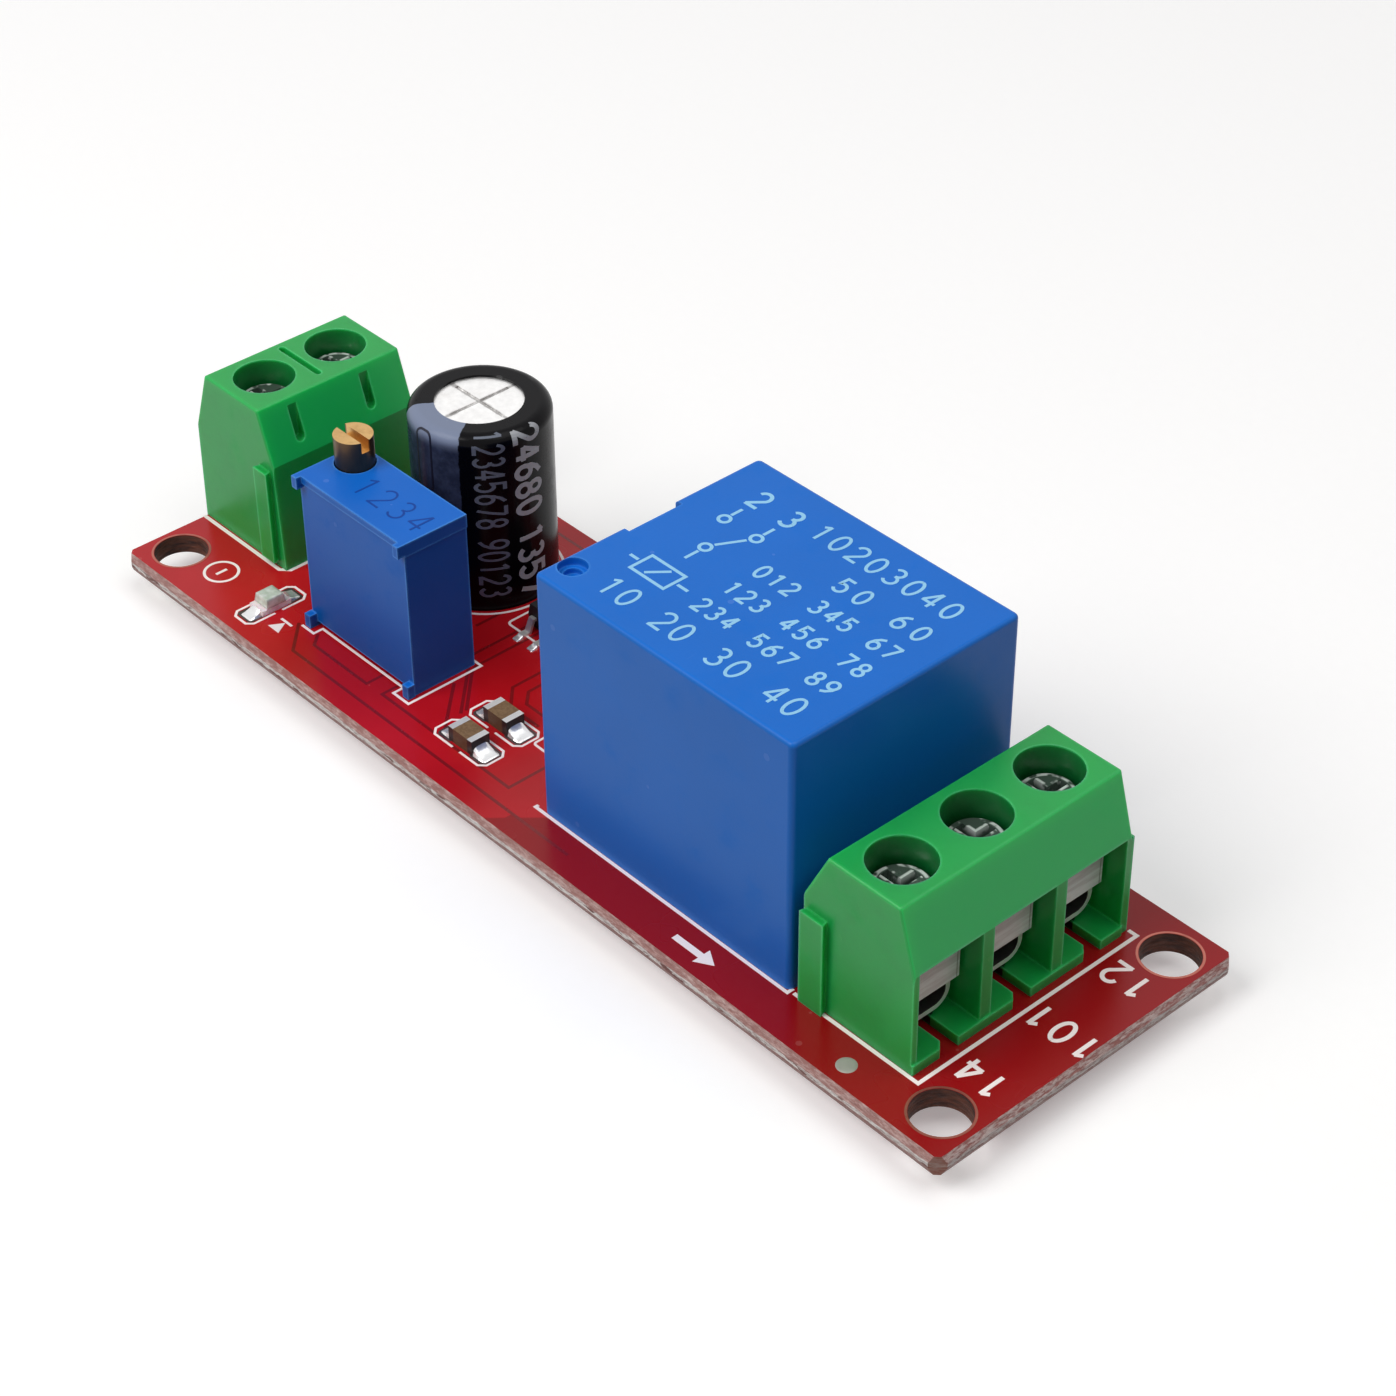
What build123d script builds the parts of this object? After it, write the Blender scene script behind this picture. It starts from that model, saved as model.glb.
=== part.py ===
from build123d import *
from math import atan, cos, degrees, hypot, pi, radians, sin
from typing import NamedTuple
import os

# Relay module board, in millimetres.
# X runs along the board towards the output terminal block, Y across it and Z up.
# The origin lies under the board's middle, on the surface that the lead tips stand on.
# Heights of what sits on the board are given above the board's top face.

# Circuit board
board_length = 67.0
board_width = 21.3
board_thickness = 1.2
lead_reach = 1.3
corner_clip = 0.65
score_depth = 0.42
score_width = 0.2
mount_hole_radius = 1.6
mount_inset_x = 2.25
mount_inset_y = 2.5
nick_x = 29.05
nick_radius = 0.35
nick_depth = 0.2

# Leads and their solder joints
lead_clearance = 0.08
lead_tip_show = 0.35
solder_fit = 0.02
solder_brim = 0.45
solder_tip_wall = 0.12

# Terminal blocks: what both have
pole_pitch = 5.08
partition_wall = 0.76
housing_edge = 0.15
mouth_margin = 1.0
pocket_rear = 2.15
pocket_front = 2.75
pocket_roof = 7.0
foot_height = 0.6
foot_rear = 1.6
foot_low_side = 1.95
foot_high_side = 2.25
foot_corner = 0.4
screw_well_radius = 1.8
screw_head_radius = 1.58
screw_head_height = 1.1
screw_head_edge = 0.15
screw_shank_radius = 1.0
screw_shank_end = 0.25
thread_clearance = 0.05
cross_length = 2.3
cross_width = 0.5
cross_depth = 0.65
cross_taper = 12.0
tongue_height = 2.8
tongue_thickness = 0.4
tongue_width = 1.9
tongue_bend = 0.5
guard_top = 5.5
guard_width = 3.9
guard_face = 2.25
contact_leg_face = 2.1
terminal_pin_width = 0.9
screw_tip_gap = 0.06
clamp_rear = 1.4
clamp_front = 1.75
clamp_strip_height = 0.85
clamp_strip_thickness = 0.3
clamp_width = 3.8
clamp_loop_corner = 0.9
clamp_block_bottom = 3.45
clamp_block_height = 2.0
rail_depth = 0.4
rail_undercut = 0.12
rail_root = 0.2
rail_fit = 0.05
far_wall_pad = 0.12

# Relay
relay_length = 18.85
relay_width = 15.39
relay_height = 15.45
relay_y = -0.02
relay_gap = 0.65
cover_wall = 0.9
cover_corner = 0.35
cover_edge = 0.25
cover_fit = 0.1
notch_width = 3.6
notch_depth = 0.5
notch_height = 12.0
vent_radius = 0.8
vent_depth = 0.45
vent_inset_x = 0.95
vent_inset_y = 1.77
vent_bore_radius = 0.5
vent_bore_depth = 0.3
sealing_thickness = 0.5
base_thickness = 1.2
pin_fit = 0.05
pin_thickness = 0.4
contact_pin_width = 1.0
coil_pin_width = 0.6
coil_pin_from_common = 2.0
coil_pin_spread = 12.0
contact_pin_from_common = 14.2
contact_pin_spread = 12.0
common_blade_width = 1.5
common_blade_height = 2.5
yoke_thickness = 1.2
yoke_width = 9.0
yoke_back_gap = 0.9
yoke_foot_length = 11.0
yoke_bend = 0.65
yoke_top_room = 4.0
core_from_yoke_back = 6.72
core_radius = 2.2
core_spigot_radius = 1.9
core_head_radius = 3.2
core_head_height = 0.8
core_fit = 0.02
flange_thickness = 0.6
flange_reach = 5.0
flange_width = 10.4
flange_foot_width = 12.8
flange_pin_wall = 0.25
bobbin_wall = 0.6
coil_radius = 4.9
coil_pin_head = 0.4
armature_thickness = 1.0
armature_width = 9.0
armature_overlap = 0.3
armature_gap = 0.03
armature_open_angle = 2.5
leaf_thickness = 0.25
leaf_width = 4.0
leaf_heel = 0.35
leaf_heel_gap = 0.12
leaf_tail = 4.5
contact_from_hinge = 14.6
contact_radius = 0.85
contact_height = 0.45
contact_shank_radius = 0.5
contact_gap = 0.1
contact_arm_width = 1.8
contact_end_margin = 0.25

# Multi-turn trimmer
trimmer_length = 9.51
trimmer_depth = 4.75
trimmer_height = 10.24
trimmer_x = -15.615
trimmer_y = -4.775
trimmer_wall = 0.6
trimmer_roof = 0.74
trimmer_band_height = 0.84
trimmer_band_step = 0.08
trimmer_front_step = 0.5
trimmer_front_band_step = 0.33
trimmer_front_band_height = 0.45
trimmer_tab_width = 0.45
trimmer_tab_height = 0.75
trimmer_foot_width = 0.5
trimmer_foot_height = 0.85
trimmer_hem = 0.35
adjuster_inset = 1.31
adjuster_radius = 1.135
adjuster_stand = 1.86
adjuster_collar = 0.1
adjuster_slot_width = 0.55
adjuster_slot_depth = 0.7
adjuster_clearance = 0.06
worm_root_radius = 0.5
worm_clearance = 0.15
worm_end_gap = 0.3
wheel_radius = 3.35
wheel_tooth_depth = 0.35
wheel_teeth = 32
wheel_thickness = 1.2
wheel_below_middle = 0.15
wheel_hub_radius = 1.1
wheel_hub_length = 0.45
axle_radius = 0.55
axle_clearance = 0.05
axle_end = 0.2
wiper_width = 0.9
wiper_length = 5.6
wiper_thickness = 0.15
wiper_finger = 0.5
wiper_gap = 0.08
element_thickness = 0.6
element_headroom = 0.5
trimmer_fit = 0.05
trimmer_seal_bottom = 0.25
trimmer_seal_thickness = 0.95
trimmer_pin_radius = 0.25
trimmer_pin_pitch = 2.54
trimmer_pin_rise = 0.35

# Electrolytic capacitor
capacitor_x = -17.55
capacitor_y = 3.97
sleeve_radius = 4.12
sleeve_thickness = 0.12
sleeve_fit = 0.02
sleeve_opening = 2.55
can_stand = 0.15
can_height = 11.45
can_shoulder = 0.55
vent_groove_width = 0.22
vent_groove_depth = 0.1
vent_groove_length = 4.2
capacitor_lead_pitch = 3.5
capacitor_lead_radius = 0.3

# Light-emitting diode
led_x = -23.25
led_y = -7.5
led_length = 2.0
led_width = 1.25
led_base_thickness = 0.35
led_lens_length = 1.3
led_lens_height = 0.55
led_lens_draft = 8.0

# Chip capacitors and resistors, all of one case size
chip_length = 2.0
chip_width = 1.25
chip_end = 0.4
capacitor_chip_height = 0.95
resistor_chip_height = 0.55
capacitor_chips = ((-5.65, -7.02), (-5.7, -4.55))
resistor_chips = ((-21.9, -0.3), (-2.6, 8.1), (-2.6, 5.6))

# Timer chip
timer_x = -9.3
timer_y = 4.15
timer_length = 4.9
timer_width = 3.9
timer_height = 1.45
timer_stand = 0.1
timer_draft = 7.0
timer_dimple = 0.3
timer_dimple_depth = 0.1
timer_span = 6.0
timer_lead_pitch = 1.27

# Driver transistor and flyback diode
transistor_x = -2.1
transistor_y = 1.6
transistor_length = 2.9
transistor_width = 1.3
transistor_height = 1.0
transistor_exit = 0.35
transistor_span = 2.4
transistor_lead_pitch = 1.9
diode_x = -2.1
diode_y = -1.9
diode_length = 2.7
diode_width = 1.6
diode_height = 1.15
diode_exit = 0.4
diode_span = 4.4
gull_lead_width = 0.42
gull_lead_thickness = 0.18
gull_lead_foot = 0.55

# Heights and places worked out from the sizes above
board_top = lead_reach + board_thickness
lead_tip = -board_top


class Block(NamedTuple):
    """One terminal block: its place, the way its wires enter and its side outline."""

    name: str
    front: int
    screw_x: float
    middle_y: float
    poles: int
    height: float
    rear_foot: float
    rear_kink: float
    rear_kink_height: float
    rear_top: float
    front_top: float
    lip: float
    lip_height: float
    front_foot: float
    foot_reach: float
    head_depth: float
    rail_inset: float
    rail_width: float
    rail_bottom: float
    rail_height: float
    is_grooved: bool


output_block = Block(
    name="output", front=1, screw_x=24.95, middle_y=0.165, poles=3, height=9.83,
    rear_foot=3.95, rear_kink=3.95, rear_kink_height=6.8, rear_top=2.41,
    front_top=2.45, lip=3.52, lip_height=6.17, front_foot=3.56, foot_reach=3.68,
    head_depth=1.5, rail_inset=0.2, rail_width=1.4, rail_bottom=0.0, rail_height=5.9,
    is_grooved=False,
)
input_block = Block(
    name="input", front=-1, screw_x=-29.6, middle_y=0.27, poles=2, height=10.33,
    rear_foot=4.2, rear_kink=3.85, rear_kink_height=6.94, rear_top=2.7,
    front_top=2.4, lip=3.63, lip_height=6.75, front_foot=3.75, foot_reach=3.7,
    head_depth=1.4, rail_inset=0.7, rail_width=1.0, rail_bottom=0.4, rail_height=6.2,
    is_grooved=True,
)
groove_length = 3.9
groove_width = 0.4
groove_depth = 0.45
dimple_width = 0.62
dimple_floor = 2.85
dimple_bottom = 7.7
dimple_off_pole = -0.2


class Lead(NamedTuple):
    """A lead through the board: its middle, its section, and whether it is round."""

    x: float
    y: float
    along: float
    across: float
    is_round: bool


def pole_places(block):
    """Y of each pole of a terminal block, in order."""
    first = block.middle_y - (block.poles - 1) / 2 * pole_pitch
    return [first + number * pole_pitch for number in range(block.poles)]


def side_of(block, y):
    """Upright plane along X at y: local x points to where the wires enter, local y up."""
    return Plane(
        origin=(block.screw_x, y, board_top), x_dir=(block.front, 0, 0), z_dir=(0, -block.front, 0)
    )


def plan_of(block, height=0.0):
    """Level plane about a terminal block's middle: local x points to where the wires enter."""
    return Plane(
        origin=(block.screw_x, block.middle_y, board_top + height), x_dir=(block.front, 0, 0), z_dir=(0, 0, 1)
    )


def across_at(x, y):
    """Upright plane across the board at x: local x is Y, local y is height above the board."""
    return Plane(origin=(x, y, board_top), x_dir=(0, 1, 0), z_dir=(1, 0, 0))


def along_at(x, y):
    """Upright plane along the board at y: local x is X, local y is height above the board."""
    return Plane(origin=(x, y, board_top), x_dir=(1, 0, 0), z_dir=(0, -1, 0))


def floor_at(x, y, height=0.0):
    """Level plane with its middle at x, y and at a height above the board's top face."""
    return Plane(origin=(x, y, board_top + height))


def lead_radius(lead):
    """Radius of the smallest circle round a lead's section."""
    if lead.is_round:
        return lead.along / 2
    return hypot(lead.along, lead.across) / 2


os.makedirs("parts", exist_ok=True)
leads = []

# Terminal blocks
opening_width = pole_pitch - partition_wall
tongue_top = tongue_height + tongue_thickness
tongue_middle = tongue_height + tongue_thickness / 2
clamp_length = clamp_rear + clamp_front
leg_middle = contact_leg_face - tongue_thickness / 2

for block in (output_block, input_block):
    pole_ys = pole_places(block)
    block_width = block.poles * pole_pitch
    near_face = block.middle_y - block_width / 2
    far_face = block.middle_y + block_width / 2
    head_top = block.height - block.head_depth
    head_low = head_top - screw_head_height

    with BuildPart() as housing:
        with BuildSketch(side_of(block, block.middle_y)) as outline:
            with BuildLine():
                Polyline(
                    (-block.rear_foot, 0),
                    (-block.rear_kink, block.rear_kink_height),
                    (-block.rear_top, block.height),
                    (block.front_top, block.height),
                    (block.lip, block.lip_height),
                    (block.front_foot, 0),
                    close=True,
                )
            make_face()
        extrude(amount=block_width / 2, both=True)
        upper_edges = housing.edges().filter_by(lambda edge: edge.center().Z > board_top + block.lip_height)
        fillet(upper_edges, housing_edge)
        # A pocket for each pole, open to the wires in front and to the board below
        for y in pole_ys:
            with BuildSketch(side_of(block, y)):
                with BuildLine():
                    Polyline(
                        (-pocket_rear, 0),
                        (-pocket_rear, pocket_roof),
                        (pocket_front, pocket_roof),
                        (pocket_front, block.lip_height),
                        (block.lip + mouth_margin, block.lip_height),
                        (block.lip + mouth_margin, 0),
                        close=True,
                    )
                make_face()
            extrude(amount=opening_width / 2, both=True, mode=Mode.SUBTRACT)
        # Screw wells from the top down into the pockets
        with BuildSketch(floor_at(block.screw_x, 0, block.height)):
            with Locations(*[(0, y) for y in pole_ys]):
                Circle(screw_well_radius)
        extrude(amount=pocket_roof - block.height, mode=Mode.SUBTRACT)
        # Feet under the partitions and the end walls, spreading over the board on both sides
        for number in range(block.poles + 1):
            wall = number * pole_pitch - block_width / 2
            low = max(-block_width / 2, wall - foot_low_side)
            high = min(block_width / 2, wall + foot_high_side)
            with BuildSketch(plan_of(block)):
                with BuildLine():
                    Polyline(
                        (-foot_rear, low),
                        (block.foot_reach, low),
                        (block.foot_reach, high - foot_corner),
                        (block.foot_reach - foot_corner, high),
                        (-foot_rear, high),
                        close=True,
                    )
                make_face()
            extrude(amount=foot_height)
        # Dovetail rail on the near side, and its groove on the far side
        rail_rear = -block.rear_foot + block.rail_inset
        rail_front = rail_rear + block.rail_width
        near_sign = -block.front
        side = near_sign * block_width / 2
        with BuildSketch(plan_of(block, block.rail_bottom)):
            with BuildLine():
                Polyline(
                    (rail_rear, side - near_sign * rail_root),
                    (rail_rear, side),
                    (rail_rear - rail_undercut, side + near_sign * rail_depth),
                    (rail_front + rail_undercut, side + near_sign * rail_depth),
                    (rail_front, side),
                    (rail_front, side - near_sign * rail_root),
                    close=True,
                )
            make_face()
        extrude(amount=block.rail_height)
        with BuildSketch(plan_of(block)):
            with BuildLine():
                Polyline(
                    (rail_rear - rail_fit, -side),
                    (rail_rear - rail_undercut - rail_fit, -side + near_sign * (rail_depth + rail_fit)),
                    (rail_front + rail_undercut + rail_fit, -side + near_sign * (rail_depth + rail_fit)),
                    (rail_front + rail_fit, -side),
                    close=True,
                )
            make_face()
        extrude(amount=block.rail_bottom + block.rail_height + rail_fit, mode=Mode.SUBTRACT)
        if block.is_grooved:
            # A groove in the top between the screws, and a dimple behind each screw
            with BuildSketch(plan_of(block, block.height)):
                SlotOverall(groove_length, groove_width)
            extrude(amount=-groove_depth, mode=Mode.SUBTRACT)
            for y in pole_ys:
                with BuildSketch(across_at(block.screw_x - block.front * dimple_floor, y + dimple_off_pole)):
                    with Locations((0, dimple_bottom + dimple_width / 2)):
                        Circle(dimple_width / 2)
                        Rectangle(dimple_width, block.height, align=(Align.CENTER, Align.MIN))
                extrude(amount=-block.front * block.rear_foot, mode=Mode.SUBTRACT)
        else:
            # The far wall is thicker below the lip
            with BuildSketch(side_of(block, far_face)):
                with BuildLine():
                    Polyline(
                        (-foot_rear, 0),
                        (-foot_rear, block.lip_height),
                        (block.lip, block.lip_height),
                        (block.front_foot, 0),
                        close=True,
                    )
                make_face()
            extrude(amount=-block.front * far_wall_pad)
    housing.part.label = f"{block.name}_terminal_housing"
    export_step(housing.part, f"parts/{block.name}_terminal_housing.step")

    # One fixed contact for each pole: a pin through the board, a leg, a tongue and a wire guard
    with BuildPart() as contacts:
        for y in pole_ys:
            with BuildSketch(side_of(block, y)):
                with BuildLine():
                    FilletPolyline(
                        (-leg_middle, 0),
                        (-leg_middle, tongue_middle),
                        (guard_face - tongue_thickness / 2, tongue_middle),
                        radius=tongue_bend,
                    )
                trace(line_width=tongue_thickness)
            extrude(amount=tongue_width / 2, both=True)
            with BuildSketch(side_of(block, y)):
                with Locations((guard_face, tongue_height)):
                    Rectangle(tongue_thickness, guard_top - tongue_height, align=(Align.MAX, Align.MIN))
            extrude(amount=guard_width / 2, both=True)
            with BuildSketch(side_of(block, y)):
                with Locations((-leg_middle, 0)):
                    Rectangle(tongue_thickness, board_top, align=(Align.CENTER, Align.MAX))
            extrude(amount=terminal_pin_width / 2, both=True)
            pin_x = block.screw_x - block.front * leg_middle
            leads.append(Lead(pin_x, y, tongue_thickness, terminal_pin_width, False))
    contacts.part.label = f"{block.name}_terminal_contacts"
    export_step(contacts.part, f"parts/{block.name}_terminal_contacts.step")

    for number, y in enumerate(pole_ys, 1):
        # Rising clamp: a loop of strip under a threaded block
        with BuildPart() as clamp:
            loop_side = (clamp_width - clamp_strip_thickness) / 2
            loop_low = clamp_strip_height + clamp_strip_thickness / 2
            with BuildSketch(across_at(block.screw_x - block.front * clamp_rear, y)):
                with BuildLine():
                    FilletPolyline(
                        (-loop_side, clamp_block_bottom + clamp_strip_thickness),
                        (-loop_side, loop_low),
                        (loop_side, loop_low),
                        (loop_side, clamp_block_bottom + clamp_strip_thickness),
                        radius=clamp_loop_corner,
                    )
                trace(line_width=clamp_strip_thickness)
            extrude(amount=block.front * clamp_length)
            with BuildSketch(floor_at(block.screw_x, y, clamp_block_bottom)):
                with Locations((block.front * (clamp_front - clamp_rear) / 2, 0)):
                    Rectangle(clamp_length, clamp_width)
                Circle(screw_shank_radius + thread_clearance, mode=Mode.SUBTRACT)
            extrude(amount=clamp_block_height)
        clamp.part.label = f"{block.name}_clamp_{number}"
        export_step(clamp.part, f"parts/{block.name}_clamp_{number}.step")

        # Clamp screw with a cross recess, its tip standing on the contact's tongue
        with BuildPart() as screw:
            screw_tip = tongue_top + screw_tip_gap
            with BuildSketch(side_of(block, y)):
                with BuildLine():
                    Polyline(
                        (0, screw_tip),
                        (screw_shank_radius - screw_shank_end, screw_tip),
                        (screw_shank_radius, screw_tip + screw_shank_end),
                        (screw_shank_radius, head_low),
                        (screw_head_radius, head_low),
                        (screw_head_radius, head_top - screw_head_edge),
                        (screw_head_radius - screw_head_edge, head_top),
                        (0, head_top),
                        close=True,
                    )
                make_face()
            revolve(axis=Axis((block.screw_x, y, 0), (0, 0, 1)))
            with BuildSketch(floor_at(block.screw_x, y, head_top)):
                Rectangle(cross_length, cross_width)
                Rectangle(cross_width, cross_length)
            extrude(amount=-cross_depth, taper=cross_taper, mode=Mode.SUBTRACT)
        screw.part.label = f"{block.name}_screw_{number}"
        export_step(screw.part, f"parts/{block.name}_screw_{number}.step")

# Relay: places that its pieces share
relay_x = output_block.screw_x - output_block.rear_foot - relay_gap - relay_length / 2
cavity_length = relay_length - 2 * cover_wall
cavity_width = relay_width - 2 * cover_wall
base_top = sealing_thickness + base_thickness
yoke_back = -cavity_length / 2 + yoke_back_gap
yoke_foot_top = base_top + yoke_thickness
yoke_top = relay_height - cover_wall - yoke_top_room
core_x = yoke_back + core_from_yoke_back
common_x = yoke_back - pin_thickness / 2
coil_pin_x = common_x + coil_pin_from_common
contact_pin_x = common_x + contact_pin_from_common
coil_pin_ys = (-coil_pin_spread / 2, coil_pin_spread / 2)
contact_pin_ys = (-contact_pin_spread / 2, contact_pin_spread / 2)
head_bottom = yoke_top - core_head_height
coil_bottom = yoke_foot_top + flange_thickness
coil_top = head_bottom - flange_thickness
bobbin_radius = core_radius + core_fit + bobbin_wall
hinge_height = yoke_top + armature_gap
contact_x = yoke_back + contact_from_hinge

# Relay cover: a drawn-up box with rounded corners, a groove in one end and a blind vent in the top
with BuildPart() as relay_cover:
    with BuildSketch(floor_at(relay_x, relay_y)):
        RectangleRounded(relay_length, relay_width, cover_corner)
    extrude(amount=relay_height)
    fillet(relay_cover.faces().sort_by(Axis.Z)[-1].edges(), cover_edge)
    with BuildSketch(floor_at(relay_x, relay_y)):
        Rectangle(cavity_length, cavity_width)
    extrude(amount=relay_height - cover_wall, mode=Mode.SUBTRACT)
    with BuildSketch(floor_at(relay_x, relay_y, relay_height)):
        with Locations((-relay_length / 2, 0)):
            Rectangle(2 * notch_depth, notch_width)
    extrude(amount=-notch_height, mode=Mode.SUBTRACT)
    with BuildSketch(floor_at(relay_x, relay_y, relay_height)):
        with Locations((-relay_length / 2 + vent_inset_x, -relay_width / 2 + vent_inset_y)):
            Circle(vent_radius)
    extrude(amount=-vent_depth, mode=Mode.SUBTRACT)
    with BuildSketch(floor_at(relay_x, relay_y, relay_height - vent_depth)):
        with Locations((-relay_length / 2 + vent_inset_x, -relay_width / 2 + vent_inset_y)):
            Circle(vent_bore_radius)
    extrude(amount=-vent_bore_depth, mode=Mode.SUBTRACT)
relay_cover.part.label = "relay_cover"
export_step(relay_cover.part, "parts/relay_cover.step")


def relay_pin_holes():
    """Cuts the five relay pins' slots through the sketch that is being drawn."""
    with Locations(*[(coil_pin_x, y) for y in coil_pin_ys]):
        Rectangle(coil_pin_width + 2 * pin_fit, pin_thickness + 2 * pin_fit, mode=Mode.SUBTRACT)
    with Locations(*[(contact_pin_x, y) for y in contact_pin_ys]):
        Rectangle(contact_pin_width + 2 * pin_fit, pin_thickness + 2 * pin_fit, mode=Mode.SUBTRACT)
    with Locations((common_x, 0)):
        Rectangle(pin_thickness + 2 * pin_fit, common_blade_width + 2 * pin_fit, mode=Mode.SUBTRACT)


with BuildPart() as relay_potting:
    with BuildSketch(floor_at(relay_x, relay_y)):
        Rectangle(cavity_length - 2 * cover_fit, cavity_width - 2 * cover_fit)
        relay_pin_holes()
    extrude(amount=sealing_thickness)
relay_potting.part.label = "relay_potting"
export_step(relay_potting.part, "parts/relay_potting.step")

with BuildPart() as relay_base:
    with BuildSketch(floor_at(relay_x, relay_y, sealing_thickness)):
        Rectangle(cavity_length - 2 * cover_fit, cavity_width - 2 * cover_fit)
        relay_pin_holes()
    extrude(amount=base_thickness)
relay_base.part.label = "relay_base"
export_step(relay_base.part, "parts/relay_base.step")

# Bent yoke: a foot under the coil and an upright back that carries the armature
with BuildPart() as relay_yoke:
    with BuildSketch(along_at(relay_x, relay_y)):
        with BuildLine():
            FilletPolyline(
                (yoke_back + yoke_thickness / 2, yoke_top),
                (yoke_back + yoke_thickness / 2, base_top + yoke_thickness / 2),
                (yoke_back + yoke_foot_length, base_top + yoke_thickness / 2),
                radius=yoke_bend,
            )
        trace(line_width=yoke_thickness)
    extrude(amount=yoke_width / 2, both=True)
    with BuildSketch(floor_at(relay_x, relay_y, base_top)):
        with Locations((core_x, 0)):
            Circle(core_spigot_radius + core_fit)
    extrude(amount=yoke_thickness, mode=Mode.SUBTRACT)
relay_yoke.part.label = "relay_yoke"
export_step(relay_yoke.part, "parts/relay_yoke.step")

with BuildPart() as relay_core:
    with BuildSketch(along_at(relay_x + core_x, relay_y)):
        with BuildLine():
            Polyline(
                (0, base_top),
                (core_spigot_radius, base_top),
                (core_spigot_radius, yoke_foot_top),
                (core_radius, yoke_foot_top),
                (core_radius, head_bottom),
                (core_head_radius, head_bottom),
                (core_head_radius, yoke_top),
                (0, yoke_top),
                close=True,
            )
        make_face()
    revolve(axis=Axis((relay_x + core_x, relay_y, 0), (0, 0, 1)))
relay_core.part.label = "relay_core"
export_step(relay_core.part, "parts/relay_core.step")

# Bobbin: a tube between two flanges, the lower one holding the coil pins
with BuildPart() as relay_bobbin:
    with BuildSketch(floor_at(relay_x, relay_y, yoke_foot_top)):
        flange_rear = coil_pin_x - coil_pin_width / 2 - flange_pin_wall
        with Locations((flange_rear, 0)):
            Rectangle(core_x + flange_reach - flange_rear, flange_foot_width, align=(Align.MIN, Align.CENTER))
        with Locations(*[(coil_pin_x, y) for y in coil_pin_ys]):
            Rectangle(coil_pin_width + 2 * pin_fit, pin_thickness + 2 * pin_fit, mode=Mode.SUBTRACT)
    extrude(amount=flange_thickness)
    with BuildSketch(floor_at(relay_x + core_x, relay_y, coil_bottom)):
        Circle(bobbin_radius)
    extrude(amount=coil_top - coil_bottom)
    with BuildSketch(floor_at(relay_x + core_x, relay_y, coil_top)):
        Rectangle(2 * flange_reach, flange_width)
    extrude(amount=flange_thickness)
    with BuildSketch(floor_at(relay_x + core_x, relay_y, yoke_foot_top)):
        Circle(core_radius + core_fit)
    extrude(amount=head_bottom - yoke_foot_top, mode=Mode.SUBTRACT)
relay_bobbin.part.label = "relay_bobbin"
export_step(relay_bobbin.part, "parts/relay_bobbin.step")

with BuildPart() as relay_coil:
    with BuildSketch(floor_at(relay_x + core_x, relay_y, coil_bottom)):
        Circle(coil_radius)
        Circle(bobbin_radius + core_fit, mode=Mode.SUBTRACT)
    extrude(amount=coil_top - coil_bottom)
relay_coil.part.label = "relay_coil"
export_step(relay_coil.part, "parts/relay_coil.step")

with BuildPart() as relay_coil_pins:
    with BuildSketch(floor_at(relay_x, relay_y, lead_tip)):
        with Locations(*[(coil_pin_x, y) for y in coil_pin_ys]):
            Rectangle(coil_pin_width, pin_thickness)
    extrude(amount=coil_bottom + coil_pin_head - lead_tip)
relay_coil_pins.part.label = "relay_coil_pins"
export_step(relay_coil_pins.part, "parts/relay_coil_pins.step")
leads += [Lead(relay_x + coil_pin_x, relay_y + y, coil_pin_width, pin_thickness, False) for y in coil_pin_ys]

with BuildPart() as relay_common_terminal:
    with BuildSketch(across_at(relay_x + yoke_back, relay_y)):
        with Locations((0, lead_tip)):
            Rectangle(
                common_blade_width,
                base_top + common_blade_height - lead_tip,
                align=(Align.CENTER, Align.MIN),
            )
    extrude(amount=-pin_thickness)
relay_common_terminal.part.label = "relay_common_terminal"
export_step(relay_common_terminal.part, "parts/relay_common_terminal.step")
leads.append(Lead(relay_x + common_x, relay_y, pin_thickness, common_blade_width, False))

# The armature lies on a plane that is tipped open about the yoke's top edge
open_angle = radians(armature_open_angle)
armature_plane = Plane(
    origin=(relay_x + yoke_back, relay_y, board_top + hinge_height),
    x_dir=(cos(open_angle), 0, sin(open_angle)),
    z_dir=(0, -1, 0),
)
armature_length = core_from_yoke_back + core_head_radius + armature_overlap
leaf_bottom = armature_thickness
leaf_top = leaf_bottom + leaf_thickness

with BuildPart() as relay_armature:
    with BuildSketch(armature_plane):
        Rectangle(armature_length, armature_thickness, align=(Align.MIN, Align.MIN))
    extrude(amount=armature_width / 2, both=True)
relay_armature.part.label = "relay_armature"
export_step(relay_armature.part, "parts/relay_armature.step")

# Leaf spring on the armature: it carries the moving contact and turns down behind the yoke
leaf_length = contact_from_hinge + contact_radius + contact_end_margin
contact_level = Plane(armature_plane.origin, x_dir=armature_plane.x_dir, z_dir=armature_plane.y_dir)
with BuildPart() as relay_contact_spring:
    with BuildSketch(armature_plane):
        with Locations((-leaf_heel, leaf_bottom)):
            Rectangle(leaf_length + leaf_heel, leaf_thickness, align=(Align.MIN, Align.MIN))
    extrude(amount=leaf_width / 2, both=True)
    with BuildSketch(along_at(relay_x + yoke_back, relay_y)):
        heel_top = hinge_height + leaf_bottom + leaf_thickness / 2
        with Locations((-leaf_heel_gap, heel_top)):
            Rectangle(leaf_thickness, leaf_tail + heel_top - yoke_top, align=(Align.MAX, Align.MAX))
    extrude(amount=leaf_width / 2, both=True)
    with BuildSketch(contact_level):
        with Locations((contact_from_hinge, 0)):
            Circle(contact_shank_radius + core_fit)
    extrude(amount=leaf_top + leaf_thickness, mode=Mode.SUBTRACT)
relay_contact_spring.part.label = "relay_contact_spring"
export_step(relay_contact_spring.part, "parts/relay_contact_spring.step")

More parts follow.
